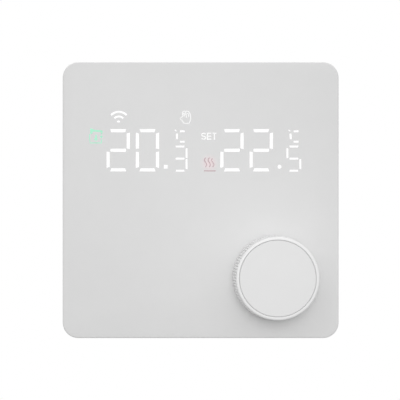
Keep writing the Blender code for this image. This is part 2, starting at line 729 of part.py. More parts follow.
def wireless_module(parent):
    """A small board of its own with a tin shield, and its aerial above the shield."""
    x, z = on_board(RADIO_PLACE)
    board_front = BOARD_PARTS_Y - RADIO_BOARD_THICKNESS
    module = piece(
        "wireless_module",
        centred_block(x, z, RADIO_WIDTH, RADIO_HEIGHT, board_front, BOARD_PARTS_Y),
        SHIELD,
        parent,
    )
    low = -RADIO_HEIGHT / 2 + RADIO_SHIELD_MARGIN
    high = RADIO_HEIGHT / 2 - RADIO_AERIAL_HEIGHT
    half = RADIO_WIDTH / 2 - RADIO_SHIELD_MARGIN
    shield = block(
        (x - half, board_front - RADIO_SHIELD_DEPTH, z + low),
        (x + half, board_front + RADIO_BOARD_THICKNESS / 2, z + high),
    )
    join(module, [shield])


def control_chip(parent):
    x, z = on_board(CHIP_PLACE)
    outline = rounded(CHIP_SIZE, CHIP_SIZE, CHIP_SIZE / 20, 2, x, z)
    chip = prism(outline, BOARD_PARTS_Y - CHIP_THICKNESS, BOARD_PARTS_Y)
    piece("control_chip", chip, BLACK_PLASTIC, parent)


def buzzer(parent):
    """A round sounder with a port in its front."""
    x, z = on_board(BUZZER_PLACE)
    front = BOARD_PARTS_Y - BUZZER_DEPTH
    body = rod((x, front, z), (x, BOARD_PARTS_Y, z), BUZZER_RADIUS, 32)
    sounder = piece("buzzer", body, BLACK_PLASTIC, parent)
    port = rod((x, front - CUT_OVER, z), (x, front + BUZZER_PORT_DEPTH, z), BUZZER_PORT_RADIUS, 12)
    cut(sounder, [port])


def room_sensor(parent):
    """A bead on two legs, near the vents in the lower edge."""
    x, z = on_board(SENSOR_PLACE)
    y = BOARD_PARTS_Y - SENSOR_STAND
    bead = rod((x, y, z - SENSOR_LENGTH / 2), (x, y, z + SENSOR_LENGTH / 2), SENSOR_RADIUS, 16)
    sensor = piece("room_sensor", bead, BLACK_PLASTIC, parent)
    legs = []
    for side in (-1, 1):
        leg_z = z + side * SENSOR_LEG_SPACING / 2
        leg_front = y + SENSOR_RADIUS - ROOT
        legs.append(
            centred_block(x, leg_z, SENSOR_LEG_WIDTH, SENSOR_LEG_WIDTH, leg_front, BOARD_PARTS_Y)
        )
    join(sensor, legs)


def plug_header(parent):
    """The plug on the back of the main board: a plastic body with two rows of pins."""
    back = BOARD_BACK_Y + FIT_GAP + PLUG_BODY_DEPTH
    header = piece(
        "pin_header",
        centred_block(PLUG_X, PLUG_Z, PLUG_WIDTH, PLUG_HEIGHT, BOARD_BACK_Y + FIT_GAP, back),
        BLACK_PLASTIC,
        parent,
    )
    pins = []
    pin_ends = (back - ROOT, SOCKET_FRONT_Y + PIN_ENGAGEMENT)
    for x, z in pin_places():
        pins.append(centred_block(x, z, PIN_WIDTH, PIN_WIDTH, *pin_ends))
    join(header, pins)


def pin_places():
    """The (x, z) of each pin."""
    places = []
    for row in range(PIN_ROWS):
        for column in range(PIN_COLUMNS):
            x = PLUG_X + (column - (PIN_COLUMNS - 1) / 2) * PIN_PITCH
            z = PLUG_Z + (row - (PIN_ROWS - 1) / 2) * PIN_PITCH
            places.append((x, z))
    return places


def inner_back_cover(parent):
    """The lid behind the main board, with its arms, screw holes and plug window."""
    lid_width = BOARD_WIDTH + 2 * FIT_GAP
    lid_height = BOARD_HEIGHT + 2 * FIT_GAP
    lid = piece(
        "inner_back_cover",
        prism(rounded(lid_width, lid_height, 1.8 * MM, 3), LID_FRONT_Y, LID_BACK_Y),
        INNER_PLASTIC,
        parent,
    )
    cuts = [
        centred_block(
            PLUG_X,
            PLUG_Z,
            PLUG_WIDTH + 2 * FIT_GAP,
            PLUG_HEIGHT + 2 * FIT_GAP,
            LID_FRONT_Y - CUT_OVER,
            LID_BACK_Y + CUT_OVER,
        )
    ]
    hole = BOARD_SCREW_RADIUS + FIT_GAP
    seat = BOARD_SCREW_HEAD + FIT_GAP
    seat_y = LID_BACK_Y - LID_SEAT_DEPTH
    stepped = [(hole, LID_FRONT_Y - CUT_OVER), (hole, seat_y), (seat, seat_y), (seat, LID_BACK_Y + CUT_OVER)]
    for side_x, side_z in CORNERS.values():
        cuts.append(turned(stepped, side_x * BOSS_X, side_z * BOSS_Z, 16))
    for side in (-1, 1):
        x = side * BOX_SCREW_SPACING / 2
        start, end = (x, LID_FRONT_Y - CUT_OVER, 0.0), (x, LID_BACK_Y + CUT_OVER, 0.0)
        cuts.append(rod(start, end, BOX_SCREW_HEAD + SLIDE_GAP, 24))
    cut(lid, cuts)


def cross_head_screw(name, radius, head_radius, head_height, length, count=16):
    """A pan-head screw along Y. Its head's seat is y = 0, and the head is on the side of +Y."""
    slot_front = head_height * 0.4
    profile = [
        (radius * 0.5, -length),
        (radius, -length + radius),
        (radius, 0.0),
        (head_radius, 0.0),
        (head_radius, head_height * 0.55),
        (head_radius * 0.72, head_height),
    ]
    screw = piece(name, turned(profile, count=count), STEEL)
    slot_size = (head_radius * 1.15, head_radius * 0.3)
    cut(screw, [cross_slot(0.0, 0.0, *slot_size, slot_front, head_height + CUT_OVER)])
    return screw


def repeated(template, places, parent=None):
    """A copy of a template at each named place. The template goes."""
    for name, (location, turned_round) in places.items():
        made = copy_of(template, name, location, parent)
        if turned_round:
            made.rotation_euler = (0.0, 0.0, math.pi)
    for tool in list(template.children):
        bpy.data.objects.remove(tool, do_unlink=True)
    bpy.data.objects.remove(template, do_unlink=True)


def board_screws(parent):
    """Four screws from behind, through the lid and the main board into the cover's bosses."""
    template = cross_head_screw(
        "board_screw",
        BOARD_SCREW_RADIUS,
        BOARD_SCREW_HEAD,
        BOARD_SCREW_HEAD_HEIGHT,
        BOARD_SCREW_LENGTH,
        12,
    )
    places = {}
    for corner, (side_x, side_z) in CORNERS.items():
        location = (side_x * BOSS_X, BOARD_SCREW_SEAT_Y, side_z * BOSS_Z)
        places[f"board_screw_{corner}"] = (location, False)
    repeated(template, places, parent)


# Encoder and knob. Their empties stand on the knob's axis, so their shapes are centred on it ----


def d_outline(radius, flat, count=24):
    """A circle with one side cut flat at x = flat."""
    points = []
    half = math.acos(flat / radius)
    for i in range(count + 1):
        angle = half + (math.tau - 2 * half) * i / count
        points.append((radius * math.cos(angle), radius * math.sin(angle)))
    return points


def arc_strip(radius, thickness, start, end, steps):
    """The outline of a strip bent round the axis, between two angles in degrees."""
    inside, outside = [], []
    for i in range(steps + 1):
        angle = math.radians(start + (end - start) * i / steps)
        inside.append((radius * math.cos(angle), radius * math.sin(angle)))
        outside.append(((radius + thickness) * math.cos(angle), (radius + thickness) * math.sin(angle)))
    return inside + outside[::-1]


def encoder_body(parent):
    """The fixed pieces of the encoder: bushing, cap, base, detent spring and switch dome."""
    bore = SHAFT_RADIUS + THREAD_GAP
    outer = bore + BUSHING_WALL
    cap_inner_y = ENCODER_CAP_FRONT_Y + ENCODER_WALL
    flange_front = cap_inner_y + FIT_GAP
    flange_back = ROTOR_FRONT_Y - FIT_GAP
    piece(
        "encoder_bushing",
        turned(
            [
                (bore, BUSHING_FRONT_Y),
                (outer, BUSHING_FRONT_Y),
                (outer, flange_front),
                (BUSHING_FLANGE, flange_front),
                (BUSHING_FLANGE, flange_back),
                (bore, flange_back),
            ],
            hollow=True,
        ),
        STEEL,
        parent,
    )
    half = ENCODER_SIZE / 2
    cap = piece(
        "encoder_cap",
        block((-half, ENCODER_CAP_FRONT_Y, -half), (half, ENCODER_BASE_FRONT_Y - FIT_GAP, half)),
        SHIELD,
        parent,
    )
    room = half - ENCODER_WALL
    cut(cap, [block((-room, cap_inner_y, -room), (room, ENCODER_BASE_FRONT_Y + CUT_OVER, room))])
    hole_ends = (0.0, ENCODER_CAP_FRONT_Y - CUT_OVER, 0.0), (0.0, cap_inner_y + ENCODER_WALL, 0.0)
    cut(cap, [rod(*hole_ends, outer + FIT_GAP)])
    base = piece(
        "encoder_base",
        block((-half, ENCODER_BASE_FRONT_Y, -half), (half, ENCODER_BASE_BACK_Y, half)),
        BLACK_PLASTIC,
        parent,
    )
    recess_ends = (0.0, ENCODER_BASE_FRONT_Y - CUT_OVER, 0.0), (0.0, SWITCH_FLOOR_Y, 0.0)
    cut(base, [rod(*recess_ends, SWITCH_RECESS_RADIUS)])
    strip = arc_strip(ROTOR_RADIUS + FIT_GAP, DETENT_SPRING_THICKNESS, 20, 70, 6)
    piece("detent_spring", prism(strip, ROTOR_FRONT_Y, ROTOR_BACK_Y), BRASS, parent)
    dome_back = SWITCH_FLOOR_Y - FIT_GAP / 2
    piece(
        "switch_dome",
        turned(
            [
                (DOME_RADIUS * 0.35, dome_back - DOME_HEIGHT),
                (DOME_RADIUS * 0.75, dome_back - DOME_HEIGHT * 0.8),
                (DOME_RADIUS, dome_back - DOME_HEIGHT * 0.35),
                (DOME_RADIUS, dome_back),
            ],
            count=24,
        ),
        STEEL,
        parent,
    )


def detent_rotor(parent):
    """The notched wheel that the shaft turns and slides through."""
    outline = []
    for i in range(DETENT_COUNT * 2):
        angle = math.pi * i / DETENT_COUNT
        radius = ROTOR_RADIUS - DETENT_DEPTH * (i % 2)
        outline.append((radius * math.cos(angle), radius * math.sin(angle)))
    rotor = piece("detent_rotor", prism(outline, ROTOR_FRONT_Y, ROTOR_BACK_Y), INNER_PLASTIC, parent)
    hole = d_outline(SHAFT_RADIUS + THREAD_GAP, SHAFT_FLAT + THREAD_GAP)
    cut(rotor, [prism(hole, ROTOR_FRONT_Y - CUT_OVER, ROTOR_BACK_Y + CUT_OVER)])


def switch_plunger(parent):
    """The stud between the shaft's end and the switch dome."""
    back = PLUNGER_FRONT_Y + PLUNGER_HEIGHT
    piece(
        "switch_plunger",
        turned(
            [
                (PLUNGER_RADIUS * 0.9, PLUNGER_FRONT_Y),
                (PLUNGER_RADIUS, PLUNGER_FRONT_Y + PLUNGER_HEIGHT * 0.3),
                (PLUNGER_RADIUS, PLUNGER_FRONT_Y + PLUNGER_HEIGHT * 0.6),
                (PLUNGER_RADIUS * 0.5, back),
            ],
            count=20,
        ),
        BLACK_PLASTIC,
        parent,
    )


def encoder_shaft(parent):
    """A round shaft with a flat at the knob and another at the rotor."""
    front = KNOB_CAVITY_Y + FIT_GAP
    bar = rod((0.0, front, 0.0), (0.0, SHAFT_BACK_Y, 0.0), SHAFT_RADIUS, 32)
    shaft = piece("encoder_shaft", bar, STEEL, parent)
    reach = 2 * SHAFT_RADIUS
    flats = []
    knob_end = (front - CUT_OVER, HUB_BACK_Y + PRESS_TRAVEL)
    rotor_end = (ROTOR_FRONT_Y - PRESS_TRAVEL - FIT_GAP, SHAFT_BACK_Y + CUT_OVER)
    for low_y, high_y in (knob_end, rotor_end):
        flats.append(block((SHAFT_FLAT, low_y, -reach), (reach, high_y, reach)))
    cut(shaft, flats)


def knurled(y, radius):
    """A ring with one ridge and one groove for each knurl."""
    points = []
    for i in range(2 * KNURL_COUNT):
        angle = math.pi * i / KNURL_COUNT
        reach = radius - KNURL_DEPTH * (i % 2)
        points.append((reach * math.cos(angle), y, reach * math.sin(angle)))
    return points


def plain(y, radius):
    return [(u, y, v) for u, v in circle(radius, KNURL_COUNT)]


def knob_shell(parent):
    """The knob's body: knurled skirt, rounded rim, recess for the face disc, and a hub for the shaft."""
    lean = (KNOB_BASE_RADIUS - KNOB_FRONT_RADIUS) / (KNOB_BACK_Y - KNOB_FRONT_Y)

    def skirt_radius(y):
        return KNOB_FRONT_RADIUS + lean * (y - KNOB_FRONT_Y)

    knurl_back = KNOB_BACK_Y - KNURL_MARGIN
    knurl_front = KNOB_FRONT_Y + RIM_ROUND + KNURL_MARGIN
    recess_radius = KNOB_FRONT_RADIUS - RIM_WIDTH
    cavity_radius = skirt_radius(KNOB_CAVITY_Y) - KNOB_SKIRT_WALL
    mouth_radius = skirt_radius(KNOB_BACK_Y) - KNOB_SKIRT_WALL
    rings = [
        plain(HUB_BACK_Y, HUB_RADIUS),
        plain(KNOB_CAVITY_Y, HUB_RADIUS),
        plain(KNOB_CAVITY_Y, cavity_radius),
        plain(KNOB_BACK_Y, mouth_radius),
        plain(KNOB_BACK_Y, skirt_radius(KNOB_BACK_Y) - KNURL_DEPTH),
        knurled(knurl_back, skirt_radius(knurl_back)),
        knurled(knurl_front, skirt_radius(knurl_front)),
    ]
    round_steps = 3
    for step in range(round_steps + 1):
        angle = math.pi / 2 * step / round_steps
        radius = KNOB_FRONT_RADIUS - RIM_ROUND * (1 - math.cos(angle))
        rings.append(plain(KNOB_FRONT_Y + RIM_ROUND * (1 - math.sin(angle)), radius))
    rings += [plain(KNOB_FRONT_Y, recess_radius), plain(FACE_RECESS_Y, recess_radius)]
    shell = piece("knob_shell", (rings, False), KNOB_PLASTIC, parent)
    bore = d_outline(SHAFT_RADIUS + THREAD_GAP, SHAFT_FLAT + THREAD_GAP)
    cut(shell, [prism(bore, KNOB_CAVITY_Y, HUB_BACK_Y + CUT_OVER)])


def knob_face(parent):
    """The disc let into the knob's front."""
    radius = KNOB_FRONT_RADIUS - RIM_WIDTH - FACE_DISC_GAP
    chamfer = 0.2 * MM
    front = KNOB_FRONT_Y
    back = front + FACE_DISC_THICKNESS
    profile = [(radius - chamfer, front), (radius, front + chamfer), (radius, back)]
    piece("knob_face", turned(profile, count=64), KNOB_PLASTIC, parent)


def hub_spring(parent):
    """The open ring that grips the knob's hub round the shaft."""
    strip = arc_strip(HUB_RADIUS + THREAD_GAP, HUB_SPRING_THICKNESS, 15, 345, 20)
    front = HUB_BACK_Y - 2 * HUB_SPRING_WIDTH
    piece("hub_spring", prism(strip, front, front + HUB_SPRING_WIDTH), STEEL, parent)


# Rear unit ------------------------------------------------------------------------------------


def mounting_frame():
    """The wall plate: a tray whose rim carries the front cover."""
    outer = rounded(FRAME_WIDTH, FRAME_HEIGHT, FRAME_CORNER)
    inner = rounded(
        FRAME_WIDTH - 2 * FRAME_RIM,
        FRAME_HEIGHT - 2 * FRAME_RIM,
        FRAME_CORNER - FRAME_RIM,
    )
    rings = [
        at_depth(outer, 0.0),
        at_depth(outer, -RIM_DEPTH),
        at_depth(inner, -RIM_DEPTH),
        at_depth(inner, FRAME_FRONT_Y),
    ]
    frame = piece("mounting_frame", (rings, False), INNER_PLASTIC)

    def snap_window(side, along_x, distance):
        half = SNAP_THICKNESS / 2 + SLIDE_GAP
        near, far = distance - FRAME_RIM - ROOT, distance + ROOT
        return on_wall(side, along_x, near, far, SNAP_LENGTH, SNAP_Y - half, SNAP_Y + half)

    cuts = wall_shapes(FRAME_WIDTH, FRAME_HEIGHT, snap_window)
    cuts.append(
        centred_block(
            PLUG_X,
            PLUG_Z,
            PLUG_WIDTH + 2 * FIT_GAP,
            PLUG_HEIGHT + 2 * FIT_GAP,
            FRAME_FRONT_Y - CUT_OVER,
            CUT_OVER,
        )
    )
    hole = HOUSING_SCREW_RADIUS + FIT_GAP
    for side_x, side_z in CORNERS.values():
        x, z = side_x * HOUSING_BOSS_X, side_z * HOUSING_BOSS_Z
        cuts.append(
            turned(
                [
                    (hole, CUT_OVER),
                    (hole, FRAME_FRONT_Y + HOUSING_SCREW_SEAT),
                    (HOUSING_SCREW_HEAD + FIT_GAP, FRAME_FRONT_Y + HOUSING_SCREW_SEAT),
                    (HOUSING_SCREW_HEAD + FIT_GAP, FRAME_FRONT_Y - CUT_OVER),
                ],
                x,
                z,
                20,
            )
        )
    cut(frame, cuts)
    cut(frame, box_screw_slots())
    return frame


def box_screw_slots():
    """A level slot on the left and an upright one on the right, each with a sunk seat for its head."""
    shapes = []
    slot = 2 * (BOX_SCREW_RADIUS + FIT_GAP)
    seat = 2 * (BOX_SCREW_HEAD + FIT_GAP)
    for side in (-1, 1):
        x = side * BOX_SCREW_SPACING / 2
        stretch = (BOX_SLOT_TRAVEL, 0.0) if side < 0 else (0.0, BOX_SLOT_TRAVEL)
        narrow = rounded(slot + stretch[0], slot + stretch[1], slot / 2, 5, x)
        wide = rounded(seat + stretch[0], seat + stretch[1], seat / 2, 5, x)
        shapes.append(
            (
                [
                    at_depth(narrow, CUT_OVER),
                    at_depth(narrow, FRAME_FRONT_Y + BOX_SEAT_DEPTH),
                    at_depth(wide, FRAME_FRONT_Y + BOX_SEAT_DEPTH),
                    at_depth(wide, FRAME_FRONT_Y - CUT_OVER),
                ],
                False,
            )
        )
    return shapes


def rear_housing():
    """The tub that goes into the wall box, open to the frame and cut away for the terminals."""
    outer = rounded(HOUSING_WIDTH, HOUSING_HEIGHT, HOUSING_CORNER, 4)
    inner = rounded(2 * HOUSING_INNER_X, 2 * HOUSING_INNER_Z, HOUSING_CORNER - HOUSING_WALL, 4)
    back = HOUSING_FRONT_Y + HOUSING_DEPTH
    rings = [
        at_depth(inner, back - HOUSING_WALL),
        at_depth(inner, HOUSING_FRONT_Y),
        at_depth(outer, HOUSING_FRONT_Y),
        at_depth(outer, back),
    ]
    tub = piece("rear_housing", (rings, False), BLACK_PLASTIC)
    additions = []
    for side_x, side_z in CORNERS.values():
        x, z = side_x * HOUSING_BOSS_X, side_z * HOUSING_BOSS_Z
        start = (x, HOUSING_FRONT_Y + FIT_GAP, z)
        end = (x, HOUSING_FRONT_Y + HOUSING_BOSS_LENGTH, z)
        additions.append(rod(start, end, HOUSING_BOSS, 20))
    ledge_front = POWER_BOARD_BACK_Y + FIT_GAP
    for side in (-1, 1):
        low, high = sorted((side * (HOUSING_INNER_X - LEDGE_PROUD), side * (HOUSING_INNER_X + ROOT)))
        additions.append(
            block((low, ledge_front, -LEDGE_WIDTH / 2), (high, ledge_front + LEDGE_DEPTH, LEDGE_WIDTH / 2))
        )
    join(tub, additions)
    cuts = [
        block(
            (-TERMINAL_WIDTH / 2 - FIT_GAP, TERMINAL_FRONT_Y - FIT_GAP, TERMINAL_LOW_Z - CUT_OVER),
            (
                TERMINAL_WIDTH / 2 + FIT_GAP,
                TERMINAL_BACK_Y + CUT_OVER,
                TERMINAL_LOW_Z + TERMINAL_HEIGHT + FIT_GAP,
            ),
        )
    ]
    pilot = HOUSING_SCREW_RADIUS + THREAD_GAP
    for side_x, side_z in CORNERS.values():
        x, z = side_x * HOUSING_BOSS_X, side_z * HOUSING_BOSS_Z
        start = (x, HOUSING_FRONT_Y - CUT_OVER, z)
        end = (x, HOUSING_FRONT_Y + HOUSING_SCREW_LENGTH + FIT_GAP, z)
        cuts.append(rod(start, end, pilot, 12))
    cut(tub, cuts)


def power_board():
    """The mains board, with its corners cut away for the tub's bosses."""
    half_x = HOUSING_INNER_X - FIT_GAP
    half_z = HOUSING_INNER_Z - FIT_GAP
    notch = POWER_BOARD_NOTCH
    outline = []
    for side_x, side_z in ((1, 1), (-1, 1), (-1, -1), (1, -1)):
        near = [(half_x, half_z - notch), (half_x - notch, half_z - notch), (half_x - notch, half_z)]
        corner = [(side_x * u, side_z * v) for u, v in near]
        outline += corner if side_x * side_z > 0 else corner[::-1]
    piece("power_board", prism(outline, POWER_BOARD_Y, POWER_BOARD_BACK_Y), BOARD)


def header_socket():
    """The socket on the power board that takes the front unit's pins."""
    back = POWER_BOARD_Y - FIT_GAP
    socket = piece(
        "header_socket",
        centred_block(PLUG_X, PLUG_Z, PLUG_WIDTH, PLUG_HEIGHT, SOCKET_FRONT_Y, back),
        BLACK_PLASTIC,
    )
    holes = []
    for x, z in pin_places():
        holes.append(
            centred_block(
                x,
                z,
                PIN_HOLE_WIDTH,
                PIN_HOLE_WIDTH,
                SOCKET_FRONT_Y - CUT_OVER,
                SOCKET_FRONT_Y + PIN_ENGAGEMENT + FIT_GAP,
            )
        )
    cut(socket, holes)


def can(name, x, z, radius, depth, material):
    """A round component stood on the power board, with a groove near its foot."""
    foot, groove = PARTS_Y + CAN_FOOT, CAN_GROOVE
    profile = [
        (radius, PARTS_Y),
        (radius, foot),
        (radius - groove, foot + groove),
        (radius, foot + 2 * groove),
        (radius, PARTS_Y + depth - groove),
        (radius - groove, PARTS_Y + depth),
    ]
    piece(name, turned(profile, x, z, 24), material)


def cased(name, x, z, width, height, depth, material):
    """A box-shaped component stood on the power board, with its far edges chamfered."""
    edge = CASE_EDGE
    case = rounded(width, height, CASE_CORNER, 3, x, z)
    top = rounded(width - 2 * edge, height - 2 * edge, CASE_CORNER - edge / 2, 3, x, z)
    rings = [
        at_depth(case, PARTS_Y),
        at_depth(case, PARTS_Y + depth - edge),
        at_depth(top, PARTS_Y + depth),
    ]
    return piece(name, (rings, False), material)


def relay():
    z = HOUSING_INNER_Z - UPPER_ROW
    cased("relay", RELAY_X, z, RELAY_WIDTH, RELAY_HEIGHT, RELAY_DEPTH, RELAY_BOX)


def transformer():
    """A taped bobbin with the core through it."""
    x, z = TRANSFORMER_X, HOUSING_INNER_Z - UPPER_ROW
    bobbin = cased("transformer", x, z, BOBBIN_WIDTH, BOBBIN_HEIGHT, BOBBIN_DEPTH, TAPE)
    front = PARTS_Y + CORE_FOOT
    join(bobbin, [centred_block(x, z, CORE_WIDTH, CORE_HEIGHT, front, front + CORE_DEPTH)])


def capacitors_and_fuse():
    """The lower row on the power board."""
    z = LOWER_ROW_Z
    can("smoothing_capacitor", SMOOTHING_X, z, SMOOTHING_RADIUS, SMOOTHING_DEPTH, CAPACITOR_SLEEVE)
    size = (FILM_BOX_WIDTH, FILM_BOX_HEIGHT, FILM_BOX_DEPTH)
    cased("film_capacitor", FILM_BOX_X, z, *size, FILM_BOX)
    can("fuse", FUSE_X, z, FUSE_RADIUS, FUSE_DEPTH, BLACK_PLASTIC)


def varistor():
    """A dipped disc on two leads."""
    y = PARTS_Y + VARISTOR_STAND
    half = VARISTOR_THICKNESS / 2
    disc = piece(
        "varistor",
        rod((VARISTOR_X - half, y, VARISTOR_Z), (VARISTOR_X + half, y, VARISTOR_Z), VARISTOR_RADIUS),
        CERAMIC,
    )
    leads = []
    for side in (-1, 1):
        lead_z = VARISTOR_Z + side * LEAD_SPACING / 2
        leads.append(centred_block(VARISTOR_X, lead_z, LEAD_WIDTH, LEAD_WIDTH, PARTS_Y, y - LEAD_SPACING / 2))
    join(disc, leads)


def terminal_places():
    """The x of each terminal's middle."""
    return [(i - (TERMINAL_COUNT - 1) / 2) * TERMINAL_PITCH for i in range(TERMINAL_COUNT)]


def terminal_block():
    """The block with one wire entry below and one screw well behind for each terminal."""
    low_z = TERMINAL_LOW_Z
    terminals = piece(
        "terminal_block",
        block(
            (-TERMINAL_WIDTH / 2, TERMINAL_FRONT_Y, low_z),
            (TERMINAL_WIDTH / 2, TERMINAL_BACK_Y, low_z + TERMINAL_HEIGHT),
        ),
        TERMINAL_PLASTIC,
    )
    entries, wells = [], []
    for x in terminal_places():
        entries.append(
            block(
                (x - WIRE_ENTRY_WIDTH / 2, WIRE_ENTRY_Y, low_z - CUT_OVER),
                (x + WIRE_ENTRY_WIDTH / 2, WIRE_ENTRY_Y + WIRE_ENTRY_DEPTH, low_z + WIRE_ENTRY_LENGTH),
            )
        )
        start = (x, WIRE_ENTRY_Y + WIRE_ENTRY_DEPTH - CUT_OVER, low_z + TERMINAL_SCREW_Z)
        end = (x, TERMINAL_BACK_Y + CUT_OVER, low_z + TERMINAL_SCREW_Z)
        wells.append(rod(start, end, TERMINAL_SCREW_HEAD + FIT_GAP, 16))
    cut(terminals, entries)
    cut(terminals, wells)


def wire_clamps():
    """A brass cage in each wire entry, with a threaded back wall for the screw."""
    half_x = WIRE_ENTRY_WIDTH / 2 - FIT_GAP
    front = WIRE_ENTRY_Y + FIT_GAP
    back = WIRE_ENTRY_Y + WIRE_ENTRY_DEPTH - FIT_GAP
    low_z, high_z = -CLAMP_HEIGHT / 2, CLAMP_HEIGHT / 2
    cage = piece("wire_clamp", block((-half_x, front, low_z), (half_x, back, high_z)), BRASS)
    wall = CLAMP_WALL
    passage = block(
        (-half_x + wall, front + wall, low_z - CUT_OVER),
        (half_x - wall, back - wall, high_z + CUT_OVER),
    )
    cut(cage, [passage])
    thread_ends = (0.0, back - 2 * wall, 0.0), (0.0, back + CUT_OVER, 0.0)
    cut(cage, [rod(*thread_ends, TERMINAL_SCREW_RADIUS + THREAD_GAP, 12)])
    places = {}
    for i, x in enumerate(terminal_places(), 1):
        places[f"wire_clamp_{i}"] = ((x, 0.0, TERMINAL_LOW_Z + TERMINAL_SCREW_Z), False)
    repeated(cage, places)


def terminal_screws():
    """A slotted screw behind each clamp, with its head in the well."""
    head = TERMINAL_SCREW_HEAD
    height = TERMINAL_SCREW_HEAD_HEIGHT
    profile = [
        (TERMINAL_SCREW_RADIUS * 0.7, -TERMINAL_SCREW_LENGTH),
        (TERMINAL_SCREW_RADIUS, -TERMINAL_SCREW_LENGTH + TERMINAL_SCREW_RADIUS * 0.4),
        (TERMINAL_SCREW_RADIUS, 0.0),
        (head, 0.0),
        (head, height * 0.8),
        (head * 0.85, height),
    ]
    template = piece("terminal_screw", turned(profile, count=16), STEEL)
    slot_ends = (height - DRIVER_SLOT_DEPTH, height + CUT_OVER)
    cut(template, [centred_block(0.0, 0.0, 3 * head, DRIVER_SLOT_WIDTH, *slot_ends)])
    seat = WIRE_ENTRY_Y + WIRE_ENTRY_DEPTH + FIT_GAP
    places = {}
    for i, x in enumerate(terminal_places(), 1):
        places[f"terminal_screw_{i}"] = ((x, seat, TERMINAL_LOW_Z + TERMINAL_SCREW_Z), False)
    repeated(template, places)


def housing_screws():
    """Four screws from the front, through the frame into the tub's bosses."""
    template = cross_head_screw(
        "housing_screw",
        HOUSING_SCREW_RADIUS,
        HOUSING_SCREW_HEAD,
        HOUSING_SCREW_HEAD_HEIGHT,
        HOUSING_SCREW_LENGTH,
        12,
    )
    seat = FRAME_FRONT_Y + HOUSING_SCREW_SEAT - FIT_GAP
    places = {}
    for corner, (side_x, side_z) in CORNERS.items():
        location = (side_x * HOUSING_BOSS_X, seat, side_z * HOUSING_BOSS_Z)
        places[f"housing_screw_{corner}"] = (location, True)
    repeated(template, places)


def box_screws():
    """The two screws that hold the frame to the wall box."""
    template = cross_head_screw(
        "box_screw",
        BOX_SCREW_RADIUS,
        BOX_SCREW_HEAD,
        BOX_SCREW_HEAD_HEIGHT,
        BOX_SCREW_LENGTH,
        20,
    )
    seat = FRAME_FRONT_Y + BOX_SEAT_DEPTH - FIT_GAP
    places = {}
    for name, side in (("left", -1), ("right", 1)):
        places[f"box_screw_{name}"] = ((side * BOX_SCREW_SPACING / 2, seat, 0.0), True)
    repeated(template, places)


def rear_unit():
    mounting_frame()
    rear_housing()
    power_board()
    header_socket()
    relay()
    transformer()
    capacitors_and_fuse()
    varistor()
    terminal_block()
    wire_clamps()
    terminal_screws()
    housing_screws()
    box_screws()


def front_unit():
    """Everything that comes away from the wall with the cover."""
    pull_axis = empty("front_unit_axis", (0.0, 0.0, 0.0))
    front_cover(pull_axis)
    display_stack(pull_axis)
    lamp_strips(pull_axis)
    main_board(pull_axis)
    wireless_module(pull_axis)
    control_chip(pull_axis)
    buzzer(pull_axis)
    room_sensor(pull_axis)
    plug_header(pull_axis)
    inner_back_cover(pull_axis)
    board_screws(pull_axis)

    knob_axis = empty("knob_axis", (KNOB_X, 0.0, KNOB_Z), pull_axis)
    encoder_body(knob_axis)
    detent_rotor(knob_axis)
    switch_plunger(knob_axis)
    encoder_shaft(knob_axis)
    knob_shell(knob_axis)
    knob_face(knob_axis)
    hub_spring(knob_axis)


rear_unit()
front_unit()
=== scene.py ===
"""Looks of a square wall thermostat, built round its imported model.

Metres, +Z up. The wall's surface is y = 0 and the front faces -Y. Sizes and places come from the
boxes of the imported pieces; what those boxes don't give is a named value here.
"""

import json
import math

import bmesh
import bpy
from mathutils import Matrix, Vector

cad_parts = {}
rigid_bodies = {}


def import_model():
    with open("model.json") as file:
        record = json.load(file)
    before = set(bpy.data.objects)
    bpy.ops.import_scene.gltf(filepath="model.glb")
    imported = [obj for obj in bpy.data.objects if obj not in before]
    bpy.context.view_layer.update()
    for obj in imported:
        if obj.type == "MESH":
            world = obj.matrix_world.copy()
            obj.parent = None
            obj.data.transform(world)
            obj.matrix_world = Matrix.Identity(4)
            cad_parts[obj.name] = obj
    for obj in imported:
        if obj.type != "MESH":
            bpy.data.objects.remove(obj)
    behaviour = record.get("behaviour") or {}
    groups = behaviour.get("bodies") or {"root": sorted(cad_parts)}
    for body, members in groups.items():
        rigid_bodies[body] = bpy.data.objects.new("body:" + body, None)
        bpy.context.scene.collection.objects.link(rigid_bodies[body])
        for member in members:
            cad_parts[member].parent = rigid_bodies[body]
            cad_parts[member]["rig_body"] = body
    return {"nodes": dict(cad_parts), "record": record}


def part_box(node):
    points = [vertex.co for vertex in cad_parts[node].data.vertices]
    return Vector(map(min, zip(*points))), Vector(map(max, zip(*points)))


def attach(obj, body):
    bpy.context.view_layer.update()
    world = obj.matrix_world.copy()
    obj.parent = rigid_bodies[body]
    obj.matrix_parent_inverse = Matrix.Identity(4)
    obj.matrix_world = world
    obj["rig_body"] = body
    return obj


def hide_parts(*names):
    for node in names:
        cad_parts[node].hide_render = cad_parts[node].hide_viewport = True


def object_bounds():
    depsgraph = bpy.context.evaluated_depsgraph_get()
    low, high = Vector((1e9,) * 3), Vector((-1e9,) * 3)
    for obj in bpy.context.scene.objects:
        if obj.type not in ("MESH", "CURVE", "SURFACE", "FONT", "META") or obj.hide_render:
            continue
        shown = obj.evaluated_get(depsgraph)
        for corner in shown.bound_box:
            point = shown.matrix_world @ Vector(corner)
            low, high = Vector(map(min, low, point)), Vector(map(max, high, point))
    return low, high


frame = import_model()
CAD_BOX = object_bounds()

bl_info = {
    "name": "Wall thermostat",
    "version": (1, 0, 0),
    "blender": (4, 5, 0),
    "location": "3D View > Sidebar > Thermostat",
    "description": "Builds the finished surfaces of a square wall thermostat",
    "category": "Object",
}

MM = 0.001
PURE_WHITE = (1.0, 1.0, 1.0, 1.0)

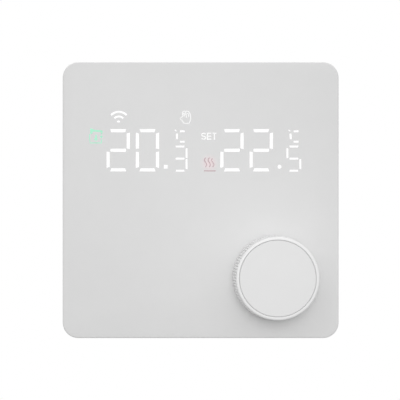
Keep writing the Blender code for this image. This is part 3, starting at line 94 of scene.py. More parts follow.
# Finishing of carried-over shapes
WELD = 0.005 * MM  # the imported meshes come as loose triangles, which are joined again
FLAT = math.radians(0.6)  # neighbours closer to flat than this become one face
BREAK_ANGLE = math.radians(35)  # sharper edges than this are broken
SMOOTH_ANGLE = 32  # degrees between faces that still shade as one
EDGE_FACES = 3  # faces across a broken edge
FINE_EDGE = 0.08 * MM  # broken edges, from the encoder's pieces to cans and tubes
BOARD_EDGE = 0.10 * MM
BLOCK_EDGE = 0.12 * MM
COVER_EDGE = 0.15 * MM
CASE_EDGE = 0.25 * MM
CAN_EDGE = 0.30 * MM

# Joining and cutting shapes
ROOT = 0.3 * MM  # how far a joined shape reaches into the other
CUT_PAST = 1.0 * MM  # how far a cutting shape passes the surface it cuts
CUT_INSIDE = 0.4 * MM  # how far it passes the inside of a wall
ROUND_SIDES = 48
PILOT_SIDES = 24

# Front cover
COVER_WALL = 1.8 * MM
FACE_WALL = 2.0 * MM
WINDOW_WALL = 0.9 * MM
WINDOW_MARGIN = 0.3 * MM
CORNER_STEPS = 16
EDGE_STEPS = 6
VENT_COUNT = 12
VENT_PITCH = 2.6 * MM
VENT_WIDTH = 1.3 * MM
VENT_ROUND = 0.6 * MM
VENT_CENTRE_X = -14.0 * MM
VENT_FRONT = 3.1 * MM  # from the face to the vents
VENT_BACK = 5.5 * MM
NOTCH_WIDTH = 12.0 * MM
NOTCH_DEPTH = 1.4 * MM
BOSS_RADIUS = 2.7 * MM
PILOT_RADIUS = 1.15 * MM
BOARD_GAP = 0.3 * MM  # from a boss to the board, and from its pilot's end to the screw's
SNAP_LENGTH = 8.0 * MM
SNAP_PROUD = 0.3 * MM
SNAP_CENTRE_Y = -4.4 * MM
SNAP_THICKNESS = 1.0 * MM
SHAFT_HOLE_RADIUS = 3.9 * MM

# Knob
KNURL_COUNT = 88
KNURL_DEPTH = 0.42 * MM
KNURL_STEPS = 10  # points across one ridge
KNURL_CREST = 0.5  # how flat the ridges' tops are
KNURL_MARGIN = 0.5 * MM
KNOB_LEAN = 0.68 * MM  # how much the skirt's radius grows towards the plate
RIM_ROUND = 0.45 * MM
GROOVE_RADIUS = 11.4 * MM  # of the groove between the rim and the face disc
GROOVE_GAP = 0.06 * MM
GROOVE_EDGE = 0.17 * MM  # chamfer on either side of the groove
GROOVE_BULGE = (0.3, 0.6)  # where the disc's chamfer stands out, in shares of it
SKIRT_WALL = 1.6 * MM
HUB_RADIUS = 4.6 * MM
RECESS_GAP = 0.3 * MM
KNOB_FRONT_WALL = 1.3 * MM
HUB_CLEARANCE = 0.8 * MM
BASE_EDGE = 0.15 * MM
KNURL_ROWS = 5
KNURL_SMOOTH_ANGLE = 40
DISC_SIDES = 180
BORE_GAP = 0.15 * MM
BORE_FLAT = 1.75 * MM  # from the shaft's axis

# Rear unit
TERMINAL_COUNT = 6

# Display, measured on the plate
BIG_WIDTH = 7.24 * MM
BIG_PITCH = 9.1 * MM
BIG_HEIGHT = 13.15 * MM
BIG_STROKE = 0.97 * MM
BIG_GAP = 0.16 * MM
SMALL_WIDTH = 4.6 * MM
SMALL_HEIGHT = 8.1 * MM
SMALL_STROKE = 0.58 * MM
SMALL_GAP = 0.3 * MM
MITRE = 0.36  # of the stroke
POINT_SIZE = 1.15 * MM
DIGITS_SHIFT = 0.08 * MM  # from the strip's left edge to the first digit
TENTHS_DROP = 0.08 * MM
POINT_RISE = 1.45 * MM  # from the strip's lower edge to the point's middle
POINT_STEPS = 6
UNIT_ACROSS = 2.6 * MM  # from the strip's right and upper edges to the unit's middle
UNIT_DOWN = 2.55 * MM
UNIT_BAR_RISE = 1.62 * MM
RADIO_ACROSS = 3.9 * MM  # right of the room digits' left edge
RADIO_DOWN = 5.32 * MM  # below the diffuser's upper edge
RADIO_RADII = (3.36 * MM, 1.92 * MM)
RADIO_ENDS = (44, 136)  # degrees
RADIO_STROKE = 0.58 * MM
HAND_ACROSS = 0.68 * MM  # left of the room digits' right edge
HAND_DOWN = 3.71 * MM
HAND_STROKE = 0.3 * MM
SET_ACROSS = 3.33 * MM  # left of the set digits' left edge
SET_HEIGHT = 19.84 * MM  # above the plate's middle
SET_STROKE = 0.34 * MM
SET_TALL = 0.93  # half a letter's height, in millimetres
SET_OVERHANG = 0.17  # how far an upright passes it
ROOM_ACROSS = 3.25 * MM  # left of the room digits' left edge
ROOM_HEIGHT = 19.88 * MM
ROOM_STROKE = 0.28 * MM
HEATING_ACROSS = 3.38 * MM  # left of the set digits' left edge
HEATING_HEIGHT = 11.42 * MM
HEATING_STROKE = 0.34 * MM
HEATING_SWAY = 0.33  # of its waves, in millimetres
HEATING_HALF_WAVE = 1.45
HEATING_CREST = 0.45  # how far below its middle a wave stands furthest right
HEATING_STEPS = 14
LIT_PROUD = 0.02 * MM  # the light is drawn as a skin this thick on the plate
LIT_DEPTH = 0.05 * MM
LIGHT_DRIFT = 0.03  # how much a symbol's light varies across it
PAINTED_GLOW_REACH = 3.4 * MM  # how far the heating symbol's glow, painted into the plate's colour, spreads
PAINTED_GLOW_SHARE = 0.8  # of the painted glow's colour, at its middle
SEGMENTS = {"0": "abcdef", "2": "abged", "3": "abgcd", "5": "afgcd"}

# Stage
FLOOR_DROP = 0.25
FLOOR_REACH = 0.40
FLOOR_FADE = 0.12  # from here out it turns clear
FLOOR_SIDES = 96
LIGHT_BELOW = 0.10
LIGHT_ABOVE = 1.26
SOFT_BOX_PLACE = (0.0, -1.0, 0.18)
SOFT_BOX_SIZE = 0.36
SOFT_BOX_POWER = 2.15  # watts
ACCENT_LEFT = 0.010  # of the knob's middle
ACCENT_FRONT = 0.45
ACCENT_RISE = 0.055
ACCENT_AIM_RISE = 0.002
ACCENT_POWER = 0.6
ACCENT_ANGLE = math.radians(9)
ACCENT_SIZE = 0.03
VIEW_LEFT = 0.2 * MM  # of the plate's middle
SENSOR_WIDTH = 36.0  # millimetres, as the camera takes it


def linear(colour):
    """An sRGB hex colour as linear red, green, blue and alpha."""
    channels = [int(colour[i : i + 2], 16) / 255 for i in (1, 3, 5)]
    curve = [c / 12.92 if c <= 0.04045 else ((c + 0.055) / 1.055) ** 2.4 for c in channels]
    return (*curve, 1.0)


# Materials ------------------------------------------------------------------------------------


def new_material(name):
    """An empty node material with its output, and the surface shader still to come."""
    material = bpy.data.materials.new(name)
    material.use_nodes = True
    material.node_tree.nodes.clear()
    return material


def add(material, kind, sockets=None, **settings):
    """Adds one node. Each socket gets a value, or a link when it is given another node's socket."""
    tree = material.node_tree
    node = tree.nodes.new("ShaderNode" + kind)
    for name, value in settings.items():
        setattr(node, name, value)
    for name, value in (sockets or {}).items():
        if isinstance(value, bpy.types.NodeSocket):
            tree.links.new(value, node.inputs[name])
        else:
            node.inputs[name].default_value = value
    return node


def blend_stops(ramp, stops):
    """Sets a colour ramp's stops, each a place and a colour."""
    elements = ramp.color_ramp.elements
    while len(elements) > 1:
        elements.remove(elements[-1])
    elements[0].position, elements[0].color = stops[0]
    for place, colour in stops[1:]:
        elements.new(place).color = colour


def grained(name, low, high, patch, grain, depth, roughness, spread, **shader):
    """A surface whose colour drifts between two near tones over `patch` metres, and whose moulded or
    cast grain is `grain` metres across and `depth` metres deep."""
    material = new_material(name)
    place = add(material, "TexCoord").outputs["Object"]
    drift = add(
        material,
        "TexNoise",
        {"Vector": place, "Scale": 1 / patch, "Detail": 3.0, "Roughness": 0.55},
    )
    tone = add(material, "ValToRGB", {"Fac": drift.outputs["Fac"]})
    blend_stops(tone, [(0.35, low), (0.65, high)])
    texture = add(
        material,
        "TexNoise",
        {"Vector": place, "Scale": 1 / grain, "Detail": 2.0, "Roughness": 0.6},
    )
    polish = add(material, "MapRange", {
        "Value": texture.outputs["Fac"],
        "From Min": 0.3,
        "From Max": 0.7,
        "To Min": roughness - spread,
        "To Max": roughness + spread,
    })
    bump = add(material, "Bump", {"Height": texture.outputs["Fac"], "Distance": depth, "Strength": 1.0})
    surface = add(material, "BsdfPrincipled", {
        "Base Color": tone.outputs["Color"],
        "Roughness": polish.outputs["Result"],
        "Normal": bump.outputs["Normal"],
        **shader,
    })
    add(material, "OutputMaterial", {"Surface": surface.outputs["BSDF"]})
    return material


def two_tones(colour, lift):
    """A colour and one slightly lighter, for a surface that isn't quite even."""
    return (*colour, 1.0), (*(min(1.0, channel * lift) for channel in colour), 1.0)


def moulded_cover_abs():
    """ABS moulded in a finely spark-eroded tool: an even satin grey with no visible pattern at arm's
    length. Its real grain is 0.05 mm; it is drawn at 0.6 mm so that it shows at all. The heating
    symbol's red light, spreading a little in the plate, is painted into the plate's colour as a pink glow
    just there."""
    tones = two_tones(bpy.context.scene.thermostat_finish.cover_colour, 1.012)
    material = grained(
        "cover_abs_fine_moulded", *tones,
        patch=9 * MM, grain=0.6 * MM, depth=0.004 * MM, roughness=0.46, spread=0.03, IOR=1.53,
    )
    place = add(material, "TexCoord").outputs["Object"]
    x, z = heating_place()
    middle = (x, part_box("front_cover")[0].y, z)
    distance = add(material, "VectorMath", {0: place, 1: middle}, operation="DISTANCE")
    reach = add(material, "MapRange", {
        "Value": distance.outputs["Value"],
        "From Max": PAINTED_GLOW_REACH,
        "To Min": PAINTED_GLOW_SHARE,
        "To Max": 0.0,
    }, interpolation_type="SMOOTHSTEP")
    surface = next(node for node in material.node_tree.nodes if node.type == "BSDF_PRINCIPLED")
    base = surface.inputs["Base Color"]
    # painted glow: the heating symbol's light, mixed into the plate's base colour as a pink tint
    painted_glow = add(
        material,
        "MixRGB",
        {"Fac": reach.outputs["Result"], "Color1": base.links[0].from_socket, "Color2": linear("#F0DADD")},
    )
    material.node_tree.links.new(painted_glow.outputs["Color"], base)
    return material


def moulded_knob_abs():
    """The same ABS in white from a smoother tool: the rim and the ridges catch a softer, brighter
    light than the plate does."""
    return grained(
        "knob_abs_satin_moulded", *two_tones(bpy.context.scene.thermostat_finish.knob_colour, 1.01),
        patch=6 * MM, grain=0.5 * MM, depth=0.003 * MM, roughness=0.36, spread=0.03, IOR=1.53,
    )


def moulded_disc_abs():
    """ABS like the cover's, from a flat ground insert: the face disc reads a shade lighter."""
    return grained(
        "disc_abs_fine_moulded", *two_tones(bpy.context.scene.thermostat_finish.disc_colour, 1.01),
        patch=7 * MM, grain=0.6 * MM, depth=0.003 * MM, roughness=0.44, spread=0.03, IOR=1.53,
    )


def natural_inner_abs():
    """Unpainted ABS off a plain milled tool, a warmer grey with faint flow marks."""
    return grained(
        "inner_abs_plain_moulded", linear("#C9C9C4"), linear("#D2D2CD"),
        patch=14 * MM, grain=0.8 * MM, depth=0.010 * MM, roughness=0.42, spread=0.05, IOR=1.53,
    )


def housing_polycarbonate():
    """Flame-retardant polycarbonate with a coarse spark-eroded texture: dark, with a dull sparkle
    from a grain of 0.45 mm."""
    return grained(
        "housing_polycarbonate_textured", linear("#26272A"), linear("#303134"),
        patch=11 * MM, grain=0.45 * MM, depth=0.030 * MM, roughness=0.50, spread=0.08, IOR=1.58,
    )


def black_liquid_crystal_polymer():
    """Black connector polymer: thin walls, slightly glossy, with flow streaks of 0.7 mm."""
    return grained(
        "connector_polymer_black", linear("#141416"), linear("#1C1C1F"),
        patch=5 * MM, grain=0.7 * MM, depth=0.006 * MM, roughness=0.34, spread=0.06, IOR=1.6,
    )


def terminal_polyamide():
    """Glass-filled polyamide: a matt sage green in which 0.35 mm fibre ends mottle the surface."""
    return grained(
        "terminal_polyamide_glass_filled", linear("#4E7D5E"), linear("#5B8B6B"),
        patch=4 * MM, grain=0.35 * MM, depth=0.014 * MM, roughness=0.48, spread=0.07, IOR=1.53,
    )


def relay_polyester():
    """Moulded polyester relay case: a clean blue with a low gloss."""
    return grained(
        "relay_polyester_moulded", linear("#2F5FA0"), linear("#3567AB"),
        patch=8 * MM, grain=0.6 * MM, depth=0.006 * MM, roughness=0.32, spread=0.05, IOR=1.57,
    )


def film_capacitor_box():
    """Epoxy-filled box, ochre and satin, with the faint pitting of potted resin."""
    return grained(
        "film_box_ochre_resin", linear("#B98A2E"), linear("#C5963A"),
        patch=5 * MM, grain=0.5 * MM, depth=0.012 * MM, roughness=0.36, spread=0.06, IOR=1.55,
    )


def dipped_epoxy():
    """Conformal epoxy dip on a ceramic disc: thick, wavy and glossy."""
    return grained(
        "disc_epoxy_dipped_blue", linear("#2B5FA8"), linear("#356DB8"),
        patch=3 * MM, grain=1.8 * MM, depth=0.060 * MM, roughness=0.22, spread=0.04, IOR=1.55,
    )


def capacitor_sleeve():
    """Shrunk polyester sleeve: dark blue gloss with the slight pucker of heat shrinking."""
    return grained(
        "capacitor_sleeve_shrunk", linear("#1B2440"), linear("#222D4E"),
        patch=6 * MM, grain=1.2 * MM, depth=0.020 * MM, roughness=0.26, spread=0.05, IOR=1.57,
    )


def frosted_polyester():
    """Frosted film that spreads the lamps' light: milky and matt."""
    return grained(
        "diffuser_polyester_frosted", linear("#E8EBEC"), linear("#F2F4F4"),
        patch=10 * MM, grain=0.3 * MM, depth=0.006 * MM, roughness=0.62, spread=0.05, IOR=1.6,
    )


def lamp_epoxy():
    """Phosphor-filled lamp bodies: pale yellow with a fine grain."""
    return grained(
        "lamp_epoxy_phosphor", linear("#E9E2B0"), linear("#F1EBC4"),
        patch=3 * MM, grain=0.3 * MM, depth=0.008 * MM, roughness=0.40, spread=0.05, IOR=1.55,
    )


def zinc_plated_steel():
    """Bright zinc on steel: a blue-white metal whose passivation clouds it over a few millimetres."""
    return grained(
        "steel_zinc_plated", linear("#A9ADB1"), linear("#C3C6C8"),
        patch=2.5 * MM, grain=0.25 * MM, depth=0.006 * MM, roughness=0.30, spread=0.08, Metallic=1.0,
    )


def tinned_sheet():
    """Hot-tinned sheet steel: a soft white metal with shallow flow clouds."""
    return grained(
        "sheet_steel_tinned", linear("#B9B8B2"), linear("#CDCCC6"),
        patch=3.5 * MM, grain=0.8 * MM, depth=0.012 * MM, roughness=0.28, spread=0.06, Metallic=1.0,
    )


def stamped_brass():
    """Stamped brass strip: warm metal with fine rolling marks."""
    return grained(
        "brass_strip_stamped", linear("#C9A45A"), linear("#D8B46A"),
        patch=3 * MM, grain=0.3 * MM, depth=0.010 * MM, roughness=0.30, spread=0.07, Metallic=1.0,
    )


def winding_tape():
    """Polyester tape wound round the transformer: amber, glossy, its turns 1.6 mm apart."""
    material = new_material("winding_tape_polyester")
    turn = 1.6 * MM
    place = add(material, "TexCoord").outputs["Object"]
    turns = add(
        material,
        "TexWave",
        {"Vector": place, "Scale": math.pi / (10 * turn), "Distortion": 0.4, "Detail": 1.0},
        bands_direction="Y",
    )
    tone = add(material, "ValToRGB", {"Fac": turns.outputs["Fac"]})
    blend_stops(tone, [(0.1, linear("#B07A12")), (0.45, linear("#D39B22")), (0.9, linear("#DDA832"))])
    bump = add(material, "Bump", {"Height": turns.outputs["Fac"], "Distance": 0.05 * MM})
    surface = add(material, "BsdfPrincipled", {
        "Base Color": tone.outputs["Color"],
        "Roughness": 0.24,
        "IOR": 1.6,
        "Normal": bump.outputs["Normal"],
    })
    add(material, "OutputMaterial", {"Surface": surface.outputs["BSDF"]})
    return material


def masked_laminate():
    """Glass-epoxy board under green solder mask: copper tracks 0.4 mm wide show through as lighter
    raised lines on a 2.5 mm grid, broken up where a track ends."""
    material = new_material("laminate_green_solder_mask")
    place = add(material, "TexCoord").outputs["Object"]
    flat = add(material, "SeparateXYZ", {"Vector": place})
    upright = add(
        material, "CombineXYZ", {"X": flat.outputs["X"], "Y": flat.outputs["Z"]}
    ).outputs["Vector"]
    tracks = add(material, "TexBrick", {
        "Vector": upright,
        "Scale": 1.0,
        "Mortar Size": 0.2 * MM,
        "Brick Width": 9 * MM,
        "Row Height": 2.5 * MM,
        "Color1": (0, 0, 0, 1),
        "Color2": (0, 0, 0, 1),
        "Mortar": (1, 1, 1, 1),
    }, offset=0.37)
    ends = add(material, "TexNoise", {"Vector": upright, "Scale": 1 / (7 * MM), "Detail": 1.0})
    kept = add(material, "Math", {0: tracks.outputs["Color"], 1: ends.outputs["Fac"]}, operation="MULTIPLY")
    tone = add(material, "ValToRGB", {"Fac": kept.outputs["Value"]})
    blend_stops(tone, [(0.25, linear("#0F5A32")), (0.5, linear("#2C8A50"))])
    bump = add(material, "Bump", {"Height": kept.outputs["Value"], "Distance": 0.03 * MM})
    surface = add(material, "BsdfPrincipled", {
        "Base Color": tone.outputs["Color"],
        "Roughness": 0.28,
        "IOR": 1.52,
        "Normal": bump.outputs["Normal"],
    })
    add(material, "OutputMaterial", {"Surface": surface.outputs["BSDF"]})
    return material


def lit_window(name, colour, strength):
    """Light coming through the thinned ABS: a plain even glow that drifts by 3% over about 3 mm."""
    material = new_material(name)
    place = add(material, "TexCoord").outputs["Object"]
    drift = add(material, "TexNoise", {"Vector": place, "Scale": 1 / (3 * MM), "Detail": 1.0})
    level = add(material, "MapRange", {
        "Value": drift.outputs["Fac"],
        "From Min": 0.3,
        "From Max": 0.7,
        "To Min": (1 - LIGHT_DRIFT) * strength,
        "To Max": (1 + LIGHT_DRIFT) * strength,
    })
    glow = add(material, "Emission", {"Color": colour, "Strength": level.outputs["Result"]})
    add(material, "OutputMaterial", {"Surface": glow.outputs["Emission"]})
    return material


SLOT_FINISHES = {
    "cover_plastic": moulded_cover_abs,
    "knob_plastic": moulded_knob_abs,
    "inner_plastic": natural_inner_abs,
    "housing_plastic": housing_polycarbonate,
    "black_plastic": black_liquid_crystal_polymer,
    "diffuser_film": frosted_polyester,
    "circuit_board": masked_laminate,
    "lamp_strip": lamp_epoxy,
    "shield_tin": tinned_sheet,
    "steel": zinc_plated_steel,
    "brass": stamped_brass,
    "relay_case": relay_polyester,
    "winding_tape": winding_tape,
    "capacitor_sleeve": capacitor_sleeve,
    "film_box": film_capacitor_box,
    "disc_ceramic": dipped_epoxy,
    "terminal_plastic": terminal_polyamide,
}
made_finishes = {}


def finish_of(make):
    """The material that a finish function makes, made once."""
    if make not in made_finishes:
        made_finishes[make] = make()
    return made_finishes[make]


# Shapes ---------------------------------------------------------------------------------------


def slot_of(node):
    """The record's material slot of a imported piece."""
    for part in frame["record"]["subparts"]:
        if part["node"] == node:
            return part["material_slot"]
    raise RuntimeError(f"the record gives no material slot for {node}")


def body_of(node):
    """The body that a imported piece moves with."""
    return frame["nodes"][node]["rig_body"]


def new_object(name, shape):
    """Links a bmesh as an object with its normals facing out."""
    bmesh.ops.recalc_face_normals(shape, faces=shape.faces)
    mesh = bpy.data.meshes.new(name)
    shape.to_mesh(mesh)
    shape.free()
    thing = bpy.data.objects.new(name, mesh)
    bpy.context.scene.collection.objects.link(thing)
    return thing


def soften(thing, degrees=SMOOTH_ANGLE):
    """Shades an object smooth but for its real edges."""
    thing.data.shade_smooth()
    thing.data.set_sharp_from_angle(angle=math.radians(degrees))
    return thing


def settle(thing):
    """Turns an object's modifiers into its own mesh."""
    graph = bpy.context.evaluated_depsgraph_get()
    made = bpy.data.meshes.new_from_object(thing.evaluated_get(graph))
    thing.modifiers.clear()
    thing.data = made
    return thing


def modify(thing, kind, **settings):
    """Adds one modifier and turns it into mesh."""
    modifier = thing.modifiers.new(kind.lower(), kind)
    for name, value in settings.items():
        setattr(modifier, name, value)
    return settle(thing)


def combine(thing, operation, shapes):
    """Joins shapes to an object (UNION) or cuts them from it (DIFFERENCE)."""
    for shape in shapes:
        modifier = thing.modifiers.new("shape", "BOOLEAN")
        modifier.operation = operation
        modifier.object = shape
    settle(thing)
    for shape in shapes:
        bpy.data.objects.remove(shape, do_unlink=True)
    return thing


def break_edges(thing, width):
    """Rounds the sharp edges by a small radius, as moulding and tumbling leave them."""
    modify(
        thing,
        "BEVEL",
        width=width,
        segments=EDGE_FACES,
        limit_method="ANGLE",
        angle_limit=BREAK_ANGLE,
        use_clamp_overlap=False,
    )
    return soften(thing)


def rounded(width, height, corner, centre=(0.0, 0.0), steps=CORNER_STEPS):
    """A rounded rectangle's points (x, z), each corner an arc."""
    points = []
    for quarter in range(4):
        side_x = 1 if quarter in (0, 3) else -1
        side_z = 1 if quarter in (0, 1) else -1
        for step in range(steps + 1):
            angle = math.pi / 2 * (quarter + step / steps)
            x = side_x * (width / 2 - corner) + corner * math.cos(angle)
            z = side_z * (height / 2 - corner) + corner * math.sin(angle)
            points.append((centre[0] + x, centre[1] + z))
    return points


def circle(radius, count, centre):
    """A circle's points (x, z)."""
    turn = 2 * math.pi / count
    return [
        (centre[0] + radius * math.cos(turn * i), centre[1] + radius * math.sin(turn * i))
        for i in range(count)
    ]


def at_depth(outline, y):
    """An outline set at one depth."""
    return [(x, y, z) for x, z in outline]


def skin(name, rings):
    """Skins a stack of equal rings and fills the first and the last."""
    shape = bmesh.new()
    rows = [[shape.verts.new(point) for point in ring] for ring in rings]
    count = len(rows[0])
    for near, far in zip(rows, rows[1:]):
        for i in range(count):
            after = (i + 1) % count
            shape.faces.new((near[i], near[after], far[after], far[i]))
    shape.faces.new(rows[0])
    shape.faces.new(rows[-1])
    return new_object(name, shape)


def box_shape(low, high):
    """A rectangular cutting or joining shape."""
    outline = [(low[0], low[2]), (high[0], low[2]), (high[0], high[2]), (low[0], high[2])]
    return skin("shape", [at_depth(outline, low[1]), at_depth(outline, high[1])])


def round_shape(x, z, radius, front, back, count=ROUND_SIDES):
    """A round cutting or joining shape along y."""
    outline = circle(radius, count, (x, z))
    return skin("shape", [at_depth(outline, front), at_depth(outline, back)])


def add_prism(shape, outline, front, back):
    """Adds a flat outline, made a thin solid, to a bmesh."""
    near = [shape.verts.new((x, front, z)) for x, z in outline]
    far = [shape.verts.new((x, back, z)) for x, z in outline]
    shape.faces.new(near)
    shape.faces.new(far)
    for i in range(len(outline)):
        after = (i + 1) % len(outline)
        shape.faces.new((near[i], near[after], far[after], far[i]))


def add_stroke(shape, points, width, front, back):
    """Adds a line of even width through the points to a bmesh, as a thin solid."""
    rows = []
    for i, (x, z) in enumerate(points):
        before, after = points[max(i - 1, 0)], points[min(i + 1, len(points) - 1)]
        along = Vector((after[0] - before[0], after[1] - before[1])).normalized()
        side = Vector((-along.y, along.x)) * width / 2
        corners = [(side, front), (-side, front), (-side, back), (side, back)]
        rows.append([shape.verts.new((x + off.x, y, z + off.y)) for off, y in corners])
    for near, far in zip(rows, rows[1:]):
        for i in range(4):
            after = (i + 1) % 4
            shape.faces.new((near[i], near[after], far[after], far[i]))
    shape.faces.new(rows[0])
    shape.faces.new(rows[-1])


def hand_over(thing, body, finish, *nodes, slot=None):
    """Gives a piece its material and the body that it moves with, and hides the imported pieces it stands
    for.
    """
    thing.data.materials.clear()
    thing.data.materials.append(finish_of(finish))
    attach(thing, body)
    if nodes:
        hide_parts(*nodes)


def restored(node, whole_faces):
    """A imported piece's mesh with its corners joined again and, where asked, its triangles joined to
    whole faces. A face with a notch or a hole stays split, so that it fills without folding."""
    shape = bmesh.new()
    shape.from_mesh(frame["nodes"][node].data)
    bmesh.ops.remove_doubles(shape, verts=shape.verts, dist=WELD)
    if whole_faces:
        bmesh.ops.dissolve_limit(
            shape, angle_limit=FLAT, verts=shape.verts, edges=shape.edges, use_dissolve_boundaries=False
        )
        bmesh.ops.connect_verts_concave(shape, faces=shape.faces)
    return new_object(node + "_finished", shape)


def finished(node, width, whole_faces=True):
    """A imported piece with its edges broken, in its own finish."""
    thing = break_edges(restored(node, whole_faces), width)
    modify(thing, "WEIGHTED_NORMAL", keep_sharp=True)
    hand_over(thing, body_of(node), SLOT_FINISHES[slot_of(node)], node)


def painted(node):
    """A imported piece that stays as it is, in its own finish."""
    materials = frame["nodes"][node].data.materials
    materials.clear()
    materials.append(finish_of(SLOT_FINISHES[slot_of(node)]))


def mirrored_places(x, z):
    """The four places at plus and minus x and z."""
    return [(side_x * x, side_z * z) for side_x in (-1, 1) for side_z in (-1, 1)]


# Front cover ----------------------------------------------------------------------------------


def cover_shell(low, high, corner, edge):
    """The open-backed shell with its edge rounded all round the face."""
    width, height = high.x - low.x, high.z - low.z
    inner = rounded(width - 2 * COVER_WALL, height - 2 * COVER_WALL, corner - COVER_WALL)
    inner_face = low.y + FACE_WALL
    rings = [
        at_depth(inner, inner_face),
        at_depth(inner, high.y),
        at_depth(rounded(width, height, corner), high.y),
    ]
    for step in range(EDGE_STEPS + 1):
        angle = math.pi / 2 * step / EDGE_STEPS
        inset = edge * (1 - math.cos(angle))
        outline = rounded(width - 2 * inset, height - 2 * inset, corner - inset)
        rings.append(at_depth(outline, low.y + edge * (1 - math.sin(angle))))
    return skin("cover_shell", rings)


def cover_bosses(low):
    """Four bosses for the board screws."""
    screw_low, screw_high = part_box("board_screw_upper_right")
    x, z = (screw_low.x + screw_high.x) / 2, (screw_low.z + screw_high.z) / 2
    board_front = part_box("main_board")[0].y
    front = low.y + FACE_WALL - ROOT
    back = board_front - BOARD_GAP
    pilot_front = screw_low.y - BOARD_GAP
    bosses = [round_shape(*place, BOSS_RADIUS, front, back) for place in mirrored_places(x, z)]
    pilots = [
        round_shape(*place, PILOT_RADIUS, pilot_front, back + CUT_PAST, PILOT_SIDES)
        for place in mirrored_places(x, z)
    ]
    return bosses, pilots


def snap_ribs(high):
    """Two ribs inside each wall, which click into the mounting frame."""
    near_y, far_y = SNAP_CENTRE_Y - SNAP_THICKNESS / 2, SNAP_CENTRE_Y + SNAP_THICKNESS / 2
    ribs = []
    for side in (-1, 1):
        wall_x, wall_z = (
            sorted((side * (reach - SNAP_PROUD), side * (reach + ROOT)))
            for reach in (high.x - COVER_WALL, high.z - COVER_WALL)
        )
        for middle in (-high.x / 2, high.x / 2):
            start, end = middle - SNAP_LENGTH / 2, middle + SNAP_LENGTH / 2
            ribs.append(box_shape((start, near_y, wall_z[0]), (end, far_y, wall_z[1])))
            ribs.append(box_shape((wall_x[0], near_y, start), (wall_x[1], far_y, end)))
    return ribs


def vent_slots(low, high):
    """The round-ended vents in the cover's lower and upper edge."""
    slots = []
    depth = VENT_BACK - VENT_FRONT
    middle = low.y + (VENT_FRONT + VENT_BACK) / 2
    for side in (-1, 1):
        near, far = sorted((side * (high.z - COVER_WALL - CUT_INSIDE), side * (high.z + CUT_PAST)))
        for i in range(VENT_COUNT):
            x = VENT_CENTRE_X + (i - (VENT_COUNT - 1) / 2) * VENT_PITCH
            outline = rounded(VENT_WIDTH, depth, VENT_ROUND, (x, middle), EDGE_STEPS)
            rings = [[(px, py, z) for px, py in outline] for z in (near, far)]
            slots.append(skin("shape", rings))
    return slots


def front_cover():
    """The moulded front cover, with everything on its inside."""
    sizes = bpy.context.scene.thermostat_sizes
    low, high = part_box("front_cover")
    cover = cover_shell(low, high, sizes.plate_corner, sizes.plate_edge)
    bosses, pilots = cover_bosses(low)
    combine(cover, "UNION", bosses + snap_ribs(high))
    film_low, film_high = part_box("display_diffuser")
    knob_low, knob_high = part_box("knob_face")
    knob_x, knob_z = (knob_low.x + knob_high.x) / 2, (knob_low.z + knob_high.z) / 2
    window = box_shape(
        (film_low.x - WINDOW_MARGIN, low.y + WINDOW_WALL, film_low.z - WINDOW_MARGIN),
        (film_high.x + WINDOW_MARGIN, low.y + FACE_WALL + CUT_PAST, film_high.z + WINDOW_MARGIN),
    )
    shaft_hole = round_shape(
        knob_x, knob_z, SHAFT_HOLE_RADIUS, low.y - CUT_PAST, low.y + FACE_WALL + CUT_PAST
    )
    notch = box_shape(
        (-NOTCH_WIDTH / 2, high.y - NOTCH_DEPTH, low.z - CUT_PAST),
        (NOTCH_WIDTH / 2, high.y + CUT_PAST, low.z + COVER_WALL + CUT_INSIDE),
    )
    combine(cover, "DIFFERENCE", [window, shaft_hole, notch] + pilots + vent_slots(low, high))
    soften(cover)
    hand_over(cover, body_of("front_cover"), moulded_cover_abs, "front_cover")


# Display --------------------------------------------------------------------------------------


def arc(x, z, radius, start, end, steps=12):
    """Points along an arc, in degrees."""
    places = [math.radians(start + (end - start) * i / steps) for i in range(steps + 1)]
    return [(x + radius * math.cos(angle), z + radius * math.sin(angle)) for angle in places]


def set_at(x, z, points):
    """Points given in millimetres round a place."""
    return [(x + across * MM, z + up * MM) for across, up in points]


def lit(name, finish, outlines=(), lines=(), width=0.0):
    """A symbol that shines through the plate: filled outlines, and lines of one width."""
    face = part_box("front_cover")[0].y
    front, back = face - LIT_PROUD, face + LIT_DEPTH
    shape = bmesh.new()
    for outline in outlines:
        add_prism(shape, outline, front, back)
    for line in lines:
        add_stroke(shape, line, width, front, back)
    hand_over(new_object(name, shape), body_of("front_cover"), finish, slot="diffuser_film")


def segments(text, x, z, width, height, stroke, gap):
    """The lit segments of one digit, mitred where they meet, round the middle (x, z)."""
    edge, half, middle = width / 2, height / 2, stroke / 2
    reach, mitre = edge - stroke - gap, MITRE * stroke
    shapes = {}
    for name, side in (("a", 1), ("d", -1)):
        outer, inner = side * half, side * (half - stroke)
        shapes[name] = [(-reach, outer), (reach, outer), (reach - mitre, inner), (mitre - reach, inner)]
    shapes["g"] = [
        (-reach, 0.0),
        (mitre / 2 - reach, middle),
        (reach - mitre / 2, middle),
        (reach, 0.0),
        (reach - mitre / 2, -middle),
        (mitre / 2 - reach, -middle),
    ]
    for name, side, up in (("b", 1, 1), ("c", 1, -1), ("e", -1, -1), ("f", -1, 1)):
        outer, inner = side * edge, side * (edge - stroke)
        top, foot = up * (half - stroke - gap / 2), up * (middle - gap / 2)
        shapes[name] = [
            (outer, top),
            (inner, top - up * mitre),
            (inner, foot + up * mitre / 2),
            (outer, foot),
        ]
    return [[(x + px, z + pz) for px, pz in shapes[name]] for name in SEGMENTS[text]]


